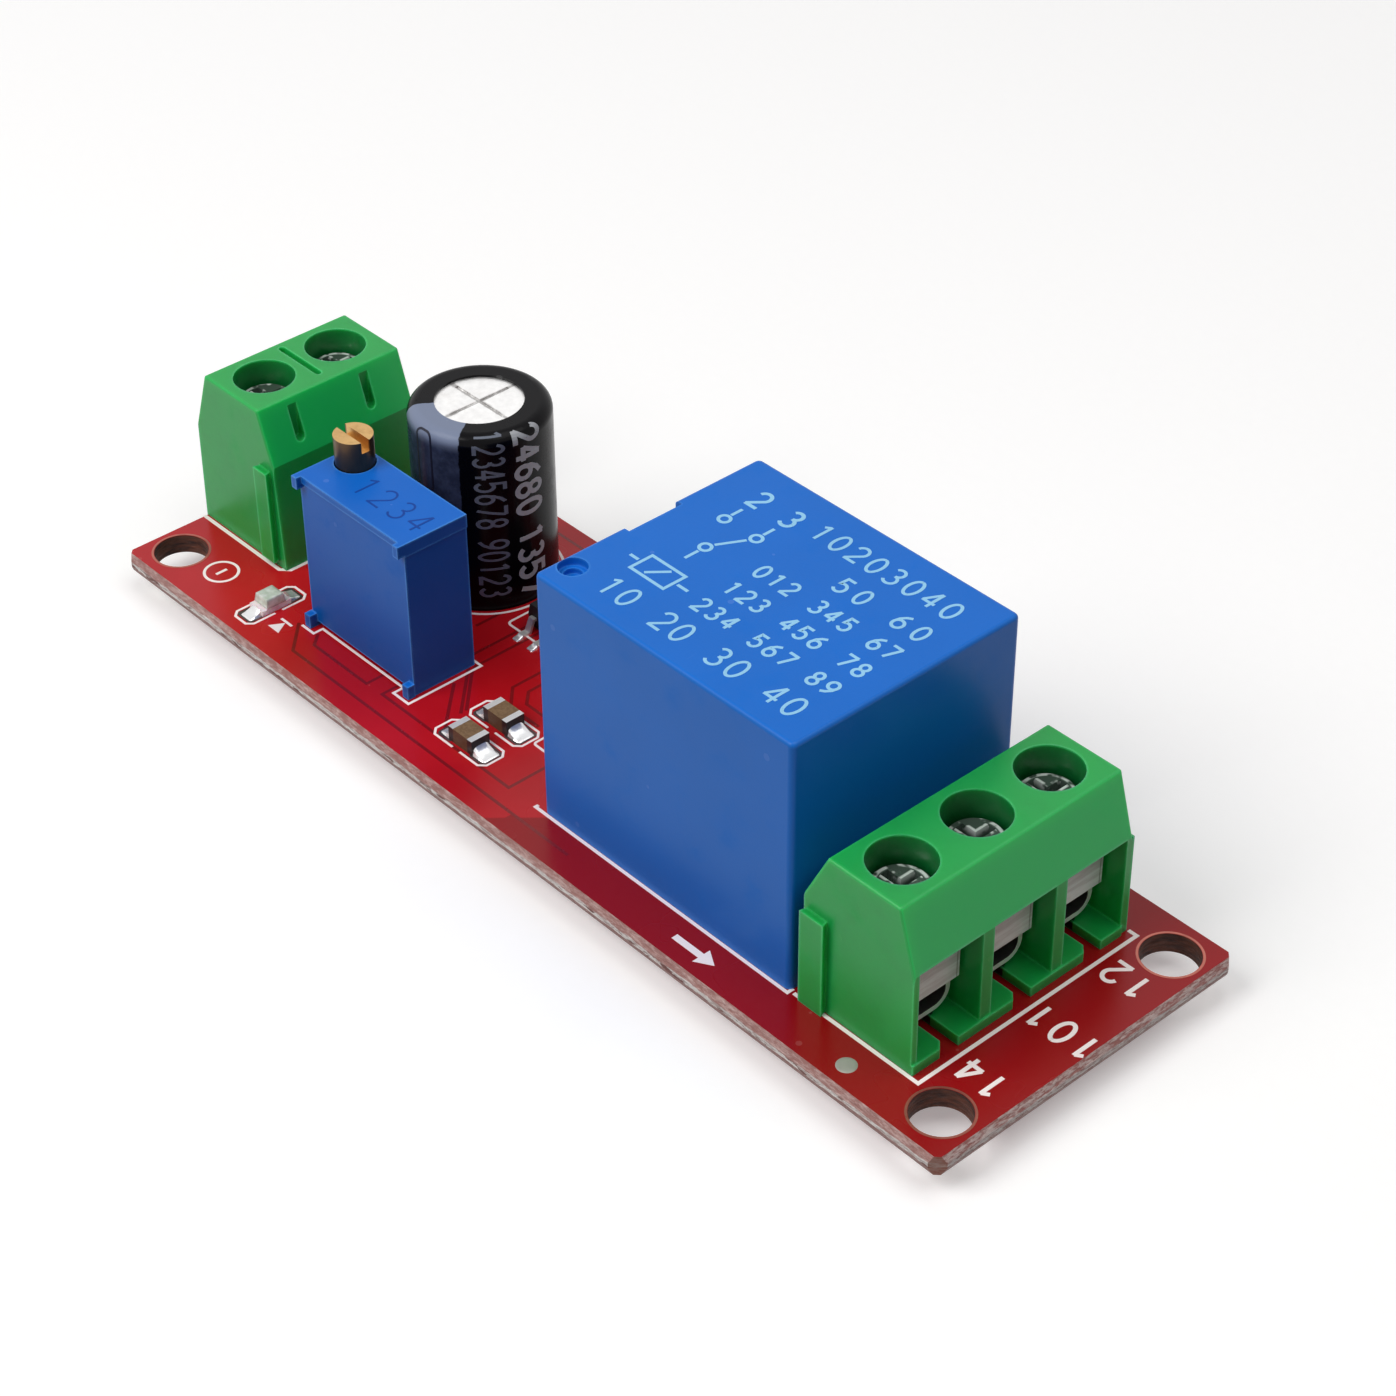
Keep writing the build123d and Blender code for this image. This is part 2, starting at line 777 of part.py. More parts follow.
# Moving contact: a rivet through the leaf with a face above and below it
with BuildPart() as relay_moving_contact:
    with BuildSketch(contact_level.offset(leaf_bottom - contact_height)):
        with Locations((contact_from_hinge, 0)):
            Circle(contact_radius)
    extrude(amount=contact_height)
    with BuildSketch(contact_level.offset(leaf_bottom)):
        with Locations((contact_from_hinge, 0)):
            Circle(contact_shank_radius)
    extrude(amount=leaf_thickness)
    with BuildSketch(contact_level.offset(leaf_top)):
        with Locations((contact_from_hinge, 0)):
            Circle(contact_radius)
    extrude(amount=contact_height)
relay_moving_contact.part.label = "relay_moving_contact"
export_step(relay_moving_contact.part, "parts/relay_moving_contact.step")

# Fixed contacts: the closed one is above the moving contact at rest, the open one below its travel
open_face = hinge_height + leaf_bottom - contact_height - contact_gap
contact_lift = (contact_from_hinge + contact_radius) * sin(open_angle)
closed_face = hinge_height + contact_lift + (leaf_top + contact_height) * cos(open_angle) + contact_gap
for label, pin_y, face, away in (
    ("relay_open_contact", contact_pin_ys[0], open_face, -1),
    ("relay_closed_contact", contact_pin_ys[1], closed_face, 1),
):
    # A pin, a blade up the side, an arm over the middle and a contact disc
    with BuildPart() as fixed_contact:
        arm = face + away * (contact_height + pin_thickness / 2)
        arm_end = contact_radius if pin_y < 0 else -contact_radius
        with BuildSketch(across_at(relay_x + contact_x, relay_y)):
            with BuildLine():
                Polyline((pin_y, base_top), (pin_y, arm), (arm_end, arm))
            trace(line_width=pin_thickness)
        extrude(amount=contact_arm_width / 2, both=True)
        with BuildSketch(floor_at(relay_x + contact_pin_x, relay_y + pin_y, lead_tip)):
            Rectangle(contact_pin_width, pin_thickness)
        extrude(amount=base_top + contact_pin_width - lead_tip)
        with BuildSketch(floor_at(relay_x + contact_x, relay_y, face)):
            Circle(contact_radius)
        extrude(amount=away * contact_height)
    fixed_contact.part.label = label
    export_step(fixed_contact.part, f"parts/{label}.step")
leads += [
    Lead(relay_x + contact_pin_x, relay_y + y, contact_pin_width, pin_thickness, False)
    for y in contact_pin_ys
]

# Trimmer: places that its pieces share
trimmer_cavity_length = trimmer_length - 2 * trimmer_wall
trimmer_cavity_height = trimmer_height - trimmer_roof
adjuster_x = -trimmer_length / 2 + adjuster_inset
adjuster_y = trimmer_depth / 2 - adjuster_inset
wheel_x = adjuster_x + worm_root_radius + worm_clearance + wheel_radius
cavity_back = trimmer_depth / 2 - trimmer_wall
cavity_front = trimmer_front_step + trimmer_wall - trimmer_depth / 2
trimmer_cavity_depth = cavity_back - cavity_front
cavity_y = (cavity_back + cavity_front) / 2
wheel_front = adjuster_y - wheel_thickness / 2
hub_front = wheel_front - wheel_hub_length
element_front = cavity_front + trimmer_fit + element_thickness
trimmer_seal_top = trimmer_seal_bottom + trimmer_seal_thickness
wheel_height = (trimmer_cavity_height + trimmer_seal_top) / 2 - wheel_below_middle
element_height = trimmer_cavity_height - trimmer_seal_top - element_headroom
trimmer_pin_y = element_front + axle_clearance + trimmer_pin_radius
trimmer_pin_xs = (-trimmer_pin_pitch, 0, trimmer_pin_pitch)


def trimmer_front(width, height, x, z):
    """Draws a rectangle on the trimmer's front from a lower left corner."""
    with Locations((x, z)):
        Rectangle(width, height, align=(Align.MIN, Align.MIN))


# Housing: an upturned box with a proud top band, corner tabs and feet, and the wheel's axle inside
with BuildPart() as trimmer_housing:
    front_y = -trimmer_depth / 2
    body_half = trimmer_length / 2 - trimmer_band_step
    with BuildSketch(floor_at(trimmer_x, trimmer_y)):
        with Locations((0, front_y + trimmer_front_step)):
            Rectangle(
                2 * body_half, trimmer_depth - trimmer_front_step, align=(Align.CENTER, Align.MIN)
            )
    extrude(amount=trimmer_height)
    with BuildSketch(floor_at(trimmer_x, trimmer_y, trimmer_height)):
        with Locations((0, front_y + trimmer_front_step)):
            Rectangle(trimmer_length, trimmer_depth - trimmer_front_step, align=(Align.CENTER, Align.MIN))
    extrude(amount=-trimmer_band_height)
    with BuildSketch(floor_at(trimmer_x, trimmer_y, trimmer_height)):
        with Locations((0, front_y + trimmer_front_band_step)):
            Rectangle(trimmer_length, trimmer_wall, align=(Align.CENTER, Align.MIN))
    extrude(amount=-trimmer_front_band_height)
    # Tabs at the top corners and feet at the bottom corners stand out from the front
    with BuildSketch(along_at(trimmer_x, trimmer_y + front_y)):
        tab_z = trimmer_height - trimmer_tab_height
        trimmer_front(trimmer_tab_width, trimmer_tab_height, -trimmer_length / 2, tab_z)
        right_tab = trimmer_length / 2 - trimmer_tab_width
        trimmer_front(trimmer_tab_width, trimmer_tab_height, right_tab, tab_z)
        trimmer_front(trimmer_foot_width, trimmer_foot_height, -trimmer_length / 2, 0)
        right_foot = trimmer_length / 2 - trimmer_foot_width
        trimmer_front(trimmer_foot_width, trimmer_foot_height, right_foot, 0)
    extrude(amount=-trimmer_front_step)
    with BuildSketch(floor_at(trimmer_x, trimmer_y + cavity_y)):
        Rectangle(trimmer_cavity_length, trimmer_cavity_depth)
    extrude(amount=trimmer_cavity_height, mode=Mode.SUBTRACT)
    # The front wall's lower edge stands off the board between the feet
    with BuildSketch(along_at(trimmer_x, trimmer_y + front_y)):
        hem_width = trimmer_length - 2 * trimmer_foot_width
        trimmer_front(hem_width, trimmer_hem, trimmer_foot_width - trimmer_length / 2, 0)
    extrude(amount=front_y - cavity_front - trimmer_fit, mode=Mode.SUBTRACT)
    with BuildSketch(floor_at(trimmer_x, trimmer_y, trimmer_height)):
        with Locations((adjuster_x, adjuster_y)):
            Circle(adjuster_radius + adjuster_clearance)
    extrude(amount=-trimmer_roof, mode=Mode.SUBTRACT)
    with BuildSketch(along_at(trimmer_x, trimmer_y + cavity_back)):
        with Locations((wheel_x, wheel_height)):
            Circle(axle_radius)
    extrude(amount=cavity_back - hub_front - axle_end)
trimmer_housing.part.label = "trimmer_housing"
export_step(trimmer_housing.part, "parts/trimmer_housing.step")

# Adjusting screw: a slotted head through the roof and a worm shaft down one end
with BuildPart() as trimmer_screw:
    collar_bottom = trimmer_cavity_height + adjuster_collar
    adjuster_top = trimmer_height + adjuster_stand
    with BuildSketch(floor_at(trimmer_x + adjuster_x, trimmer_y + adjuster_y, collar_bottom)):
        Circle(adjuster_radius)
    extrude(amount=adjuster_top - collar_bottom)
    worm_bottom = trimmer_seal_top + worm_end_gap
    with BuildSketch(floor_at(trimmer_x + adjuster_x, trimmer_y + adjuster_y, worm_bottom)):
        Circle(worm_root_radius)
    extrude(amount=collar_bottom - worm_bottom)
    with BuildSketch(floor_at(trimmer_x + adjuster_x, trimmer_y + adjuster_y, adjuster_top)):
        Rectangle(4 * adjuster_radius, adjuster_slot_width)
    extrude(amount=-adjuster_slot_depth, mode=Mode.SUBTRACT)
trimmer_screw.part.label = "trimmer_screw"
export_step(trimmer_screw.part, "parts/trimmer_screw.step")

# Worm wheel on the housing's axle
with BuildPart() as trimmer_rotor:
    root_radius = wheel_radius - wheel_tooth_depth
    tooth_width = pi * wheel_radius / wheel_teeth
    with BuildSketch(along_at(trimmer_x + wheel_x, trimmer_y + adjuster_y)):
        with Locations((0, wheel_height)):
            Circle(root_radius)
            with PolarLocations(root_radius - wheel_tooth_depth, wheel_teeth):
                Rectangle(2 * wheel_tooth_depth, tooth_width, align=(Align.MIN, Align.CENTER))
    extrude(amount=wheel_thickness / 2, both=True)
    with BuildSketch(along_at(trimmer_x + wheel_x, trimmer_y + wheel_front)):
        with Locations((0, wheel_height)):
            Circle(wheel_hub_radius)
    extrude(amount=wheel_hub_length)
    with BuildSketch(along_at(trimmer_x + wheel_x, trimmer_y + adjuster_y + wheel_thickness / 2)):
        with Locations((0, wheel_height)):
            Circle(axle_radius + axle_clearance)
    extrude(amount=wheel_thickness + wheel_hub_length, mode=Mode.SUBTRACT)
trimmer_rotor.part.label = "trimmer_rotor"
export_step(trimmer_rotor.part, "parts/trimmer_rotor.step")

# Wiper: a spring strip on the hub with a finger towards the element at each end
with BuildPart() as trimmer_wiper:
    strip_front = hub_front - wiper_thickness
    finger_length = strip_front - element_front - wiper_gap
    with BuildSketch(along_at(trimmer_x + wheel_x, trimmer_y + hub_front)):
        with Locations((0, wheel_height)):
            Rectangle(wiper_width, wiper_length)
    extrude(amount=wiper_thickness)
    with BuildSketch(along_at(trimmer_x + wheel_x, trimmer_y + strip_front)):
        finger_z = (wiper_length - wiper_thickness) / 2
        with Locations((0, wheel_height - finger_z), (0, wheel_height + finger_z)):
            Rectangle(wiper_finger, wiper_thickness)
    extrude(amount=finger_length)
trimmer_wiper.part.label = "trimmer_wiper"
export_step(trimmer_wiper.part, "parts/trimmer_wiper.step")

with BuildPart() as trimmer_element:
    with BuildSketch(floor_at(trimmer_x, trimmer_y, trimmer_seal_top)):
        with Locations((0, element_front)):
            Rectangle(
                trimmer_cavity_length - 2 * trimmer_fit, element_thickness, align=(Align.CENTER, Align.MAX)
            )
    extrude(amount=element_height)
trimmer_element.part.label = "trimmer_element"
export_step(trimmer_element.part, "parts/trimmer_element.step")

with BuildPart() as trimmer_pins:
    with BuildSketch(floor_at(trimmer_x, trimmer_y, lead_tip)):
        with Locations(*[(x, trimmer_pin_y) for x in trimmer_pin_xs]):
            Circle(trimmer_pin_radius)
    extrude(amount=trimmer_seal_top + trimmer_pin_rise - lead_tip)
trimmer_pins.part.label = "trimmer_pins"
export_step(trimmer_pins.part, "parts/trimmer_pins.step")
leads += [
    Lead(trimmer_x + x, trimmer_y + trimmer_pin_y, 2 * trimmer_pin_radius, 2 * trimmer_pin_radius, True)
    for x in trimmer_pin_xs
]

with BuildPart() as trimmer_potting:
    with BuildSketch(floor_at(trimmer_x, trimmer_y, trimmer_seal_bottom)):
        with Locations((0, cavity_y)):
            Rectangle(trimmer_cavity_length - 2 * trimmer_fit, trimmer_cavity_depth - 2 * trimmer_fit)
        with Locations(*[(x, trimmer_pin_y) for x in trimmer_pin_xs]):
            Circle(trimmer_pin_radius + solder_fit, mode=Mode.SUBTRACT)
    extrude(amount=trimmer_seal_thickness)
trimmer_potting.part.label = "trimmer_potting"
export_step(trimmer_potting.part, "parts/trimmer_potting.step")

# Electrolytic capacitor: a sealed can
can_radius = sleeve_radius - sleeve_thickness - sleeve_fit
can_top = can_stand + can_height


def can_outline(radius, bottom, top, shoulder):
    """Side line of the can or its sleeve: straight up and over a rounded shoulder."""
    Line((radius, bottom), (radius, top - shoulder))
    RadiusArc((radius, top - shoulder), (radius - shoulder, top), -shoulder)


with BuildPart() as capacitor_can:
    with BuildSketch(along_at(capacitor_x, capacitor_y)):
        with BuildLine():
            can_outline(can_radius, can_stand, can_top, can_shoulder)
            Polyline(
                (can_radius - can_shoulder, can_top), (0, can_top), (0, can_stand), (can_radius, can_stand)
            )
        make_face()
    revolve(axis=Axis((capacitor_x, capacitor_y, 0), (0, 0, 1)))
    with BuildSketch(floor_at(capacitor_x, capacitor_y, can_top)):
        Rectangle(vent_groove_length, vent_groove_width)
        Rectangle(vent_groove_width, vent_groove_length)
    extrude(amount=-vent_groove_depth, mode=Mode.SUBTRACT)
capacitor_can.part.label = "capacitor_can"
export_step(capacitor_can.part, "parts/capacitor_can.step")

# Shrunk sleeve: it follows the can and turns over its shoulder onto the top
with BuildPart() as capacitor_sleeve:
    sleeve_inside = can_radius + sleeve_fit
    inside_top = can_top + sleeve_fit
    outside_top = inside_top + sleeve_thickness
    inside_shoulder = can_shoulder + sleeve_fit
    outside_shoulder = inside_shoulder + sleeve_thickness
    sleeve_bottom = can_stand - sleeve_thickness
    with BuildSketch(along_at(capacitor_x, capacitor_y)):
        with BuildLine():
            can_outline(sleeve_radius, sleeve_bottom, outside_top, outside_shoulder)
            Polyline(
                (sleeve_radius - outside_shoulder, outside_top),
                (sleeve_opening, outside_top),
                (sleeve_opening, inside_top),
                (sleeve_inside - inside_shoulder, inside_top),
            )
            can_outline(sleeve_inside, sleeve_bottom, inside_top, inside_shoulder)
            Line((sleeve_inside, sleeve_bottom), (sleeve_radius, sleeve_bottom))
        make_face()
    revolve(axis=Axis((capacitor_x, capacitor_y, 0), (0, 0, 1)))
capacitor_sleeve.part.label = "capacitor_sleeve"
export_step(capacitor_sleeve.part, "parts/capacitor_sleeve.step")

with BuildPart() as capacitor_leads:
    with BuildSketch(floor_at(capacitor_x, capacitor_y, lead_tip)):
        with GridLocations(capacitor_lead_pitch, 0, 2, 1):
            Circle(capacitor_lead_radius)
    extrude(amount=can_stand - lead_tip)
capacitor_leads.part.label = "capacitor_leads"
export_step(capacitor_leads.part, "parts/capacitor_leads.step")
leads += [
    Lead(capacitor_x + x, capacitor_y, 2 * capacitor_lead_radius, 2 * capacitor_lead_radius, True)
    for x in (-capacitor_lead_pitch / 2, capacitor_lead_pitch / 2)
]

# Light-emitting diode: a flat base and a clear lens
with BuildPart() as led_base:
    with BuildSketch(floor_at(led_x, led_y)):
        Rectangle(led_width, led_length)
    extrude(amount=led_base_thickness)
led_base.part.label = "led_base"
export_step(led_base.part, "parts/led_base.step")

with BuildPart() as led_lens:
    with BuildSketch(floor_at(led_x, led_y, led_base_thickness)):
        Rectangle(led_width, led_lens_length)
    extrude(amount=led_lens_height, taper=led_lens_draft)
led_lens.part.label = "led_lens"
export_step(led_lens.part, "parts/led_lens.step")

# Chip parts: each a body between two plated ends
for kind, places, height in (
    ("chip_capacitor", capacitor_chips, capacitor_chip_height),
    ("chip_resistor", resistor_chips, resistor_chip_height),
):
    with BuildPart() as chip_bodies:
        with BuildSketch(floor_at(0, 0)):
            with Locations(*places):
                Rectangle(chip_length - 2 * chip_end, chip_width)
        extrude(amount=height)
    chip_bodies.part.label = f"{kind}_bodies"
    export_step(chip_bodies.part, f"parts/{kind}_bodies.step")

    with BuildPart() as chip_ends:
        with BuildSketch(floor_at(0, 0)):
            with Locations(*places):
                with GridLocations(chip_length - chip_end, 0, 2, 1):
                    Rectangle(chip_end, chip_width)
        extrude(amount=height)
    chip_ends.part.label = f"{kind}_ends"
    export_step(chip_ends.part, f"parts/{kind}_ends.step")


def gull_points(side_y, tip_y, exit_height):
    """Middle line of a gull-wing lead, from a package's side out and down to its foot."""
    out = 1 if tip_y > side_y else -1
    foot_level = gull_lead_thickness / 2
    return (
        (side_y, exit_height),
        (side_y + out * gull_lead_thickness, exit_height),
        (tip_y - out * gull_lead_foot, foot_level),
        (tip_y, foot_level),
    )


# Timer chip: moulded about its lead frame, with a dimple beside the first lead
timer_middle = timer_stand + timer_height / 2
with BuildPart() as timer_chip_body:
    for direction in (1, -1):
        with BuildSketch(floor_at(timer_x, timer_y, timer_middle)):
            Rectangle(timer_length, timer_width)
        extrude(amount=direction * timer_height / 2, taper=timer_draft)
    with BuildSketch(floor_at(timer_x, timer_y, timer_stand + timer_height)):
        with Locations((-timer_length / 2 + timer_lead_pitch, -timer_width / 2 + timer_lead_pitch)):
            Circle(timer_dimple)
    extrude(amount=-timer_dimple_depth, mode=Mode.SUBTRACT)
timer_chip_body.part.label = "timer_chip_body"
export_step(timer_chip_body.part, "parts/timer_chip_body.step")

with BuildPart() as transistor_body:
    with BuildSketch(floor_at(transistor_x, transistor_y, timer_stand)):
        Rectangle(transistor_length, transistor_width)
    extrude(amount=transistor_height, taper=timer_draft)
transistor_body.part.label = "transistor_body"
export_step(transistor_body.part, "parts/transistor_body.step")

with BuildPart() as diode_body:
    with BuildSketch(floor_at(diode_x, diode_y, timer_stand)):
        Rectangle(diode_width, diode_length)
    extrude(amount=diode_height, taper=timer_draft)
diode_body.part.label = "diode_body"
export_step(diode_body.part, "parts/diode_body.step")

# Gull-wing leads of the three packages: each lead's place along X, and +1 or -1 for its side
timer_lead_places = [((number - 1.5) * timer_lead_pitch, out) for number in range(4) for out in (-1, 1)]
transistor_lead_places = [(-transistor_lead_pitch / 2, -1), (transistor_lead_pitch / 2, -1), (0, 1)]
diode_lead_places = [(0, -1), (0, 1)]
for label, x, y, lead_places, body_width, span, exit_height in (
    ("timer_chip_leads", timer_x, timer_y, timer_lead_places, timer_width, timer_span, timer_middle),
    (
        "transistor_leads", transistor_x, transistor_y, transistor_lead_places, transistor_width,
        transistor_span, transistor_exit,
    ),
    ("diode_leads", diode_x, diode_y, diode_lead_places, diode_length, diode_span, diode_exit),
):
    with BuildPart() as package_leads:
        for lead_x, out in lead_places:
            with BuildSketch(across_at(x + lead_x, y)):
                with BuildLine():
                    Polyline(*gull_points(out * body_width / 2, out * span / 2, exit_height))
                trace(line_width=gull_lead_thickness)
            extrude(amount=gull_lead_width / 2, both=True)
    package_leads.part.label = label
    export_step(package_leads.part, f"parts/{label}.step")

# Circuit board: bevelled where it was scored, clipped at the corners, drilled for screws and leads
score_angle = degrees(atan(score_width / score_depth))
with BuildPart() as circuit_board:
    with BuildSketch(floor_at(0, 0, -score_depth)):
        Rectangle(board_length, board_width)
    extrude(amount=2 * score_depth - board_thickness)
    with BuildSketch(floor_at(0, 0, -score_depth)):
        Rectangle(board_length, board_width)
    extrude(amount=score_depth, taper=score_angle)
    with BuildSketch(floor_at(0, 0, score_depth - board_thickness)):
        Rectangle(board_length, board_width)
    extrude(amount=-score_depth, taper=score_angle)
    with BuildSketch(floor_at(0, 0)) as clipped:
        Rectangle(board_length, board_width)
        chamfer(clipped.vertices(), corner_clip)
    extrude(amount=-board_thickness, mode=Mode.INTERSECT)
    with BuildSketch(floor_at(0, 0)):
        with GridLocations(board_length - 2 * mount_inset_x, board_width - 2 * mount_inset_y, 2, 2):
            Circle(mount_hole_radius)
        for lead in leads:
            with Locations((lead.x, lead.y)):
                Circle(lead_radius(lead) + lead_clearance)
        # A nick left in the far edge
        with Locations((nick_x, board_width / 2 + nick_radius - nick_depth)):
            Circle(nick_radius)
    extrude(amount=-board_thickness, mode=Mode.SUBTRACT)
circuit_board.part.label = "circuit_board"
export_step(circuit_board.part, "parts/circuit_board.step")

# A cone of solder under the board round each lead
with BuildPart() as solder_joints:
    for lead in leads:
        wide = lead_radius(lead) + lead_clearance + solder_brim
        narrow = lead_radius(lead) + solder_tip_wall
        with BuildSketch(Plane(origin=(lead.x, lead.y, lead_reach))):
            Circle(wide)
        solder_length = lead_reach - lead_tip_show
        extrude(amount=-solder_length, taper=degrees(atan((wide - narrow) / solder_length)))
        with BuildSketch(Plane(origin=(lead.x, lead.y, lead_reach))):
            if lead.is_round:
                Circle(lead_radius(lead) + solder_fit)
            else:
                Rectangle(lead.along + 2 * solder_fit, lead.across + 2 * solder_fit)
        extrude(amount=-lead_reach, mode=Mode.SUBTRACT)
solder_joints.part.label = "solder_joints"
export_step(solder_joints.part, "parts/solder_joints.step")
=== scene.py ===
import bpy
import numpy as np
from mathutils import Matrix, Vector


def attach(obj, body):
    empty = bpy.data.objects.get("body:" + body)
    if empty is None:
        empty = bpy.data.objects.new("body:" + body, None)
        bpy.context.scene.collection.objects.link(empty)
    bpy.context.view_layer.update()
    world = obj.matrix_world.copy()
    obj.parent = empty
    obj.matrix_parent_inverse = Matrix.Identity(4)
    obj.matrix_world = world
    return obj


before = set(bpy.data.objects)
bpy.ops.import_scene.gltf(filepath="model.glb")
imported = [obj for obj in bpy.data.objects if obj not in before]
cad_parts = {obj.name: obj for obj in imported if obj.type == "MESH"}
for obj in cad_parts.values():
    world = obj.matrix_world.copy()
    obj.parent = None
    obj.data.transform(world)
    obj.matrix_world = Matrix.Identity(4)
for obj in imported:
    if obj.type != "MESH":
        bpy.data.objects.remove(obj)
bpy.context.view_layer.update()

# Places and sizes in millimetres. The part's origin lies under the middle of the board.
MM = 0.001
BOARD_X, BOARD_Y = 33.5, 10.65          # half the board's length and width
BOARD_TOP, BOARD_UNDER = 2.5, 1.3
RELAY_MIDDLE, RELAY_TOP = (10.925, -0.02), BOARD_TOP + 15.45
TRIMMER_SCREW, TRIMMER_TOP = (-19.06, -3.71), BOARD_TOP + 10.24
CAPACITOR = (-17.55, 3.97)
SLEEVE_RADIUS, SLEEVE_SHOULDER, SLEEVE_TOP = 4.12, 0.69, BOARD_TOP + 11.74
MOUNT_HOLES = [(x, y) for x in (-31.25, 31.25) for y in (-8.15, 8.15)]
OUTPUT_SCREW, INPUT_SCREW = (24.95, 0.165), (-29.6, 2.81)
HALF_PITCH = 2.54                       # of the poles of both terminal blocks

# These are measured from the board's corner beside the input terminal block
TRIMMER_MIDDLE = (17.885, 5.9)
CHIP_CAPACITORS = ((27.85, 3.63), (27.8, 6.1))
CHIP_RESISTORS = ((11.6, 10.35), (30.9, 18.75), (30.9, 16.25))
LED = (10.22, 3.15)
TIMER_CHIP, TRANSISTOR, DIODE = (24.2, 14.8), (31.4, 12.25), (31.4, 8.75)
TEST_PAD = (59.46, 1.41)


# Surfaces

def band_faces(rows, columns, closed_rows=False, closed_columns=False):
    """Quads of a grid whose points are numbered row by row: each joins a point to its next ones both ways."""
    row, column = np.meshgrid(
        np.arange(rows if closed_rows else rows - 1),
        np.arange(columns if closed_columns else columns - 1), indexing="ij",
    )
    row_next, column_next = (row + 1) % rows, (column + 1) % columns
    corners = (row * columns + column, row_next * columns + column,
               row_next * columns + column_next, row * columns + column_next)
    return np.stack(corners, -1).reshape(-1, 4)


class Shape:
    """Gathers surfaces, in millimetres, into one mesh."""

    def __init__(self):
        self.points = []
        self.faces = []
        self.count = 0

    def add(self, points, quads, caps=()):
        """Adds one surface: its points, its four-sided faces and its end faces."""
        self.points.append(np.asarray(points, float).reshape(-1, 3))
        self.faces.extend((np.asarray(quads) + self.count).tolist())
        self.faces.extend((np.asarray(cap) + self.count).tolist() for cap in caps)
        self.count += len(self.points[-1])
        return self

    def piece(self, name, material, body="board", slot=None, smooth=True):
        """Makes the object, at the origin, riding on a body of the part."""
        mesh = bpy.data.meshes.new(name)
        mesh.from_pydata((np.concatenate(self.points) * MM).tolist(), [], self.faces)
        mesh.materials.append(material)
        mesh.polygons.foreach_set("use_smooth", np.full(len(mesh.polygons), smooth))
        mesh.validate()
        mesh.update()
        made = bpy.data.objects.new(name, mesh)
        bpy.context.scene.collection.objects.link(made)
        if smooth:
            mesh.set_sharp_from_angle(angle=np.radians(35))
        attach(made, body)
        return made


def flat_on(x, y, z, turn=0.0):
    """Placing on a level face: (u, v, h) turns by an angle in degrees about (x, y), and h rises from z."""
    c, s = np.cos(np.radians(turn)), np.sin(np.radians(turn))

    def place(p):
        u, v, h = np.moveaxis(p, -1, 0)
        return np.stack([x + c * u - s * v, y + s * u + c * v, z + h], -1)

    return place


def wrapped_on(angle, z):
    """Placing on the upright sleeve: u runs round it as arc length from an angle, v up, h outwards.

    Past the start of the shoulder, v follows the shoulder's quarter circle and then runs inwards on the top.
    """
    shoulder = SLEEVE_TOP - SLEEVE_SHOULDER

    def place(p):
        u, v, h = np.moveaxis(p, -1, 0)
        a = np.radians(angle) + u / SLEEVE_RADIUS
        over = np.maximum(z + v - shoulder, 0)
        bend = np.minimum(over / SLEEVE_SHOULDER, np.pi / 2)
        inward = np.maximum(over - SLEEVE_SHOULDER * np.pi / 2, 0)
        reach = SLEEVE_RADIUS - SLEEVE_SHOULDER + (SLEEVE_SHOULDER + h) * np.cos(bend) - inward
        height = np.minimum(z + v, shoulder) + (SLEEVE_SHOULDER + h) * np.sin(bend)
        return np.stack([CAPACITOR[0] + reach * np.cos(a), CAPACITOR[1] + reach * np.sin(a), height], -1)

    return place


def ribbon(shape, path, width, low, high, place, closed=False):
    """A flat strip: at each point of a path the mitred half width goes to both sides, at two heights.

    The side step is the mean of the normals of the two runs that meet there, divided by the cosine
    of half their angle, and the four corners are carried along the path as a closed ring.
    """
    path = np.asarray(path, float)
    runs = np.roll(path, -1, 0) - path
    if not closed:
        runs[-1] = runs[-2]
    runs /= np.linalg.norm(runs, axis=1)[:, None]
    before = np.roll(runs, 1, 0)
    if not closed:
        before[0] = runs[0]
    normals = np.stack([-runs[:, 1], runs[:, 0]], 1)
    normals_before = np.stack([-before[:, 1], before[:, 0]], 1)
    miter = normals + normals_before
    miter /= np.maximum((miter ** 2).sum(1), 0.5)[:, None] / 2
    step = miter * width / 2
    corners = [(path + step, low), (path + step, high), (path - step, high), (path - step, low)]
    ring = np.stack([np.column_stack([xy, np.full(len(path), h)]) for xy, h in corners], 1)
    caps = [] if closed else [[3, 2, 1, 0], (np.arange(4) + 4 * (len(path) - 1)).tolist()]
    quads = band_faces(len(path), 4, closed_rows=closed, closed_columns=True)[:, ::-1]
    return shape.add(place(ring), quads, [cap[::-1] for cap in caps])


def plate(shape, outline, low, high, place):
    """A thin plate: the outline, which runs anticlockwise, at two heights, joined by a wall and capped."""
    outline = np.asarray(outline, float)
    count = len(outline)
    rings = np.stack([np.column_stack([outline, np.full(count, h)]) for h in (low, high)])
    quads = band_faces(2, count, closed_columns=True)[:, ::-1]
    caps = [np.arange(count)[::-1].tolist(), (np.arange(count) + count).tolist()]
    return shape.add(place(rings), quads, caps)


def arc(x, y, across, up, start, end, count=17):
    """Points of an ellipse arc about (x, y) between two angles in degrees."""
    a = np.radians(np.linspace(start, end, count))
    return np.stack([x + across * np.cos(a), y + up * np.sin(a)], 1)


def circle(x, y, radius, count):
    """Points of a whole circle about (x, y), in steps of a full turn divided by count - 1."""
    return arc(x, y, radius, radius, 0, 360, count)[:-1]


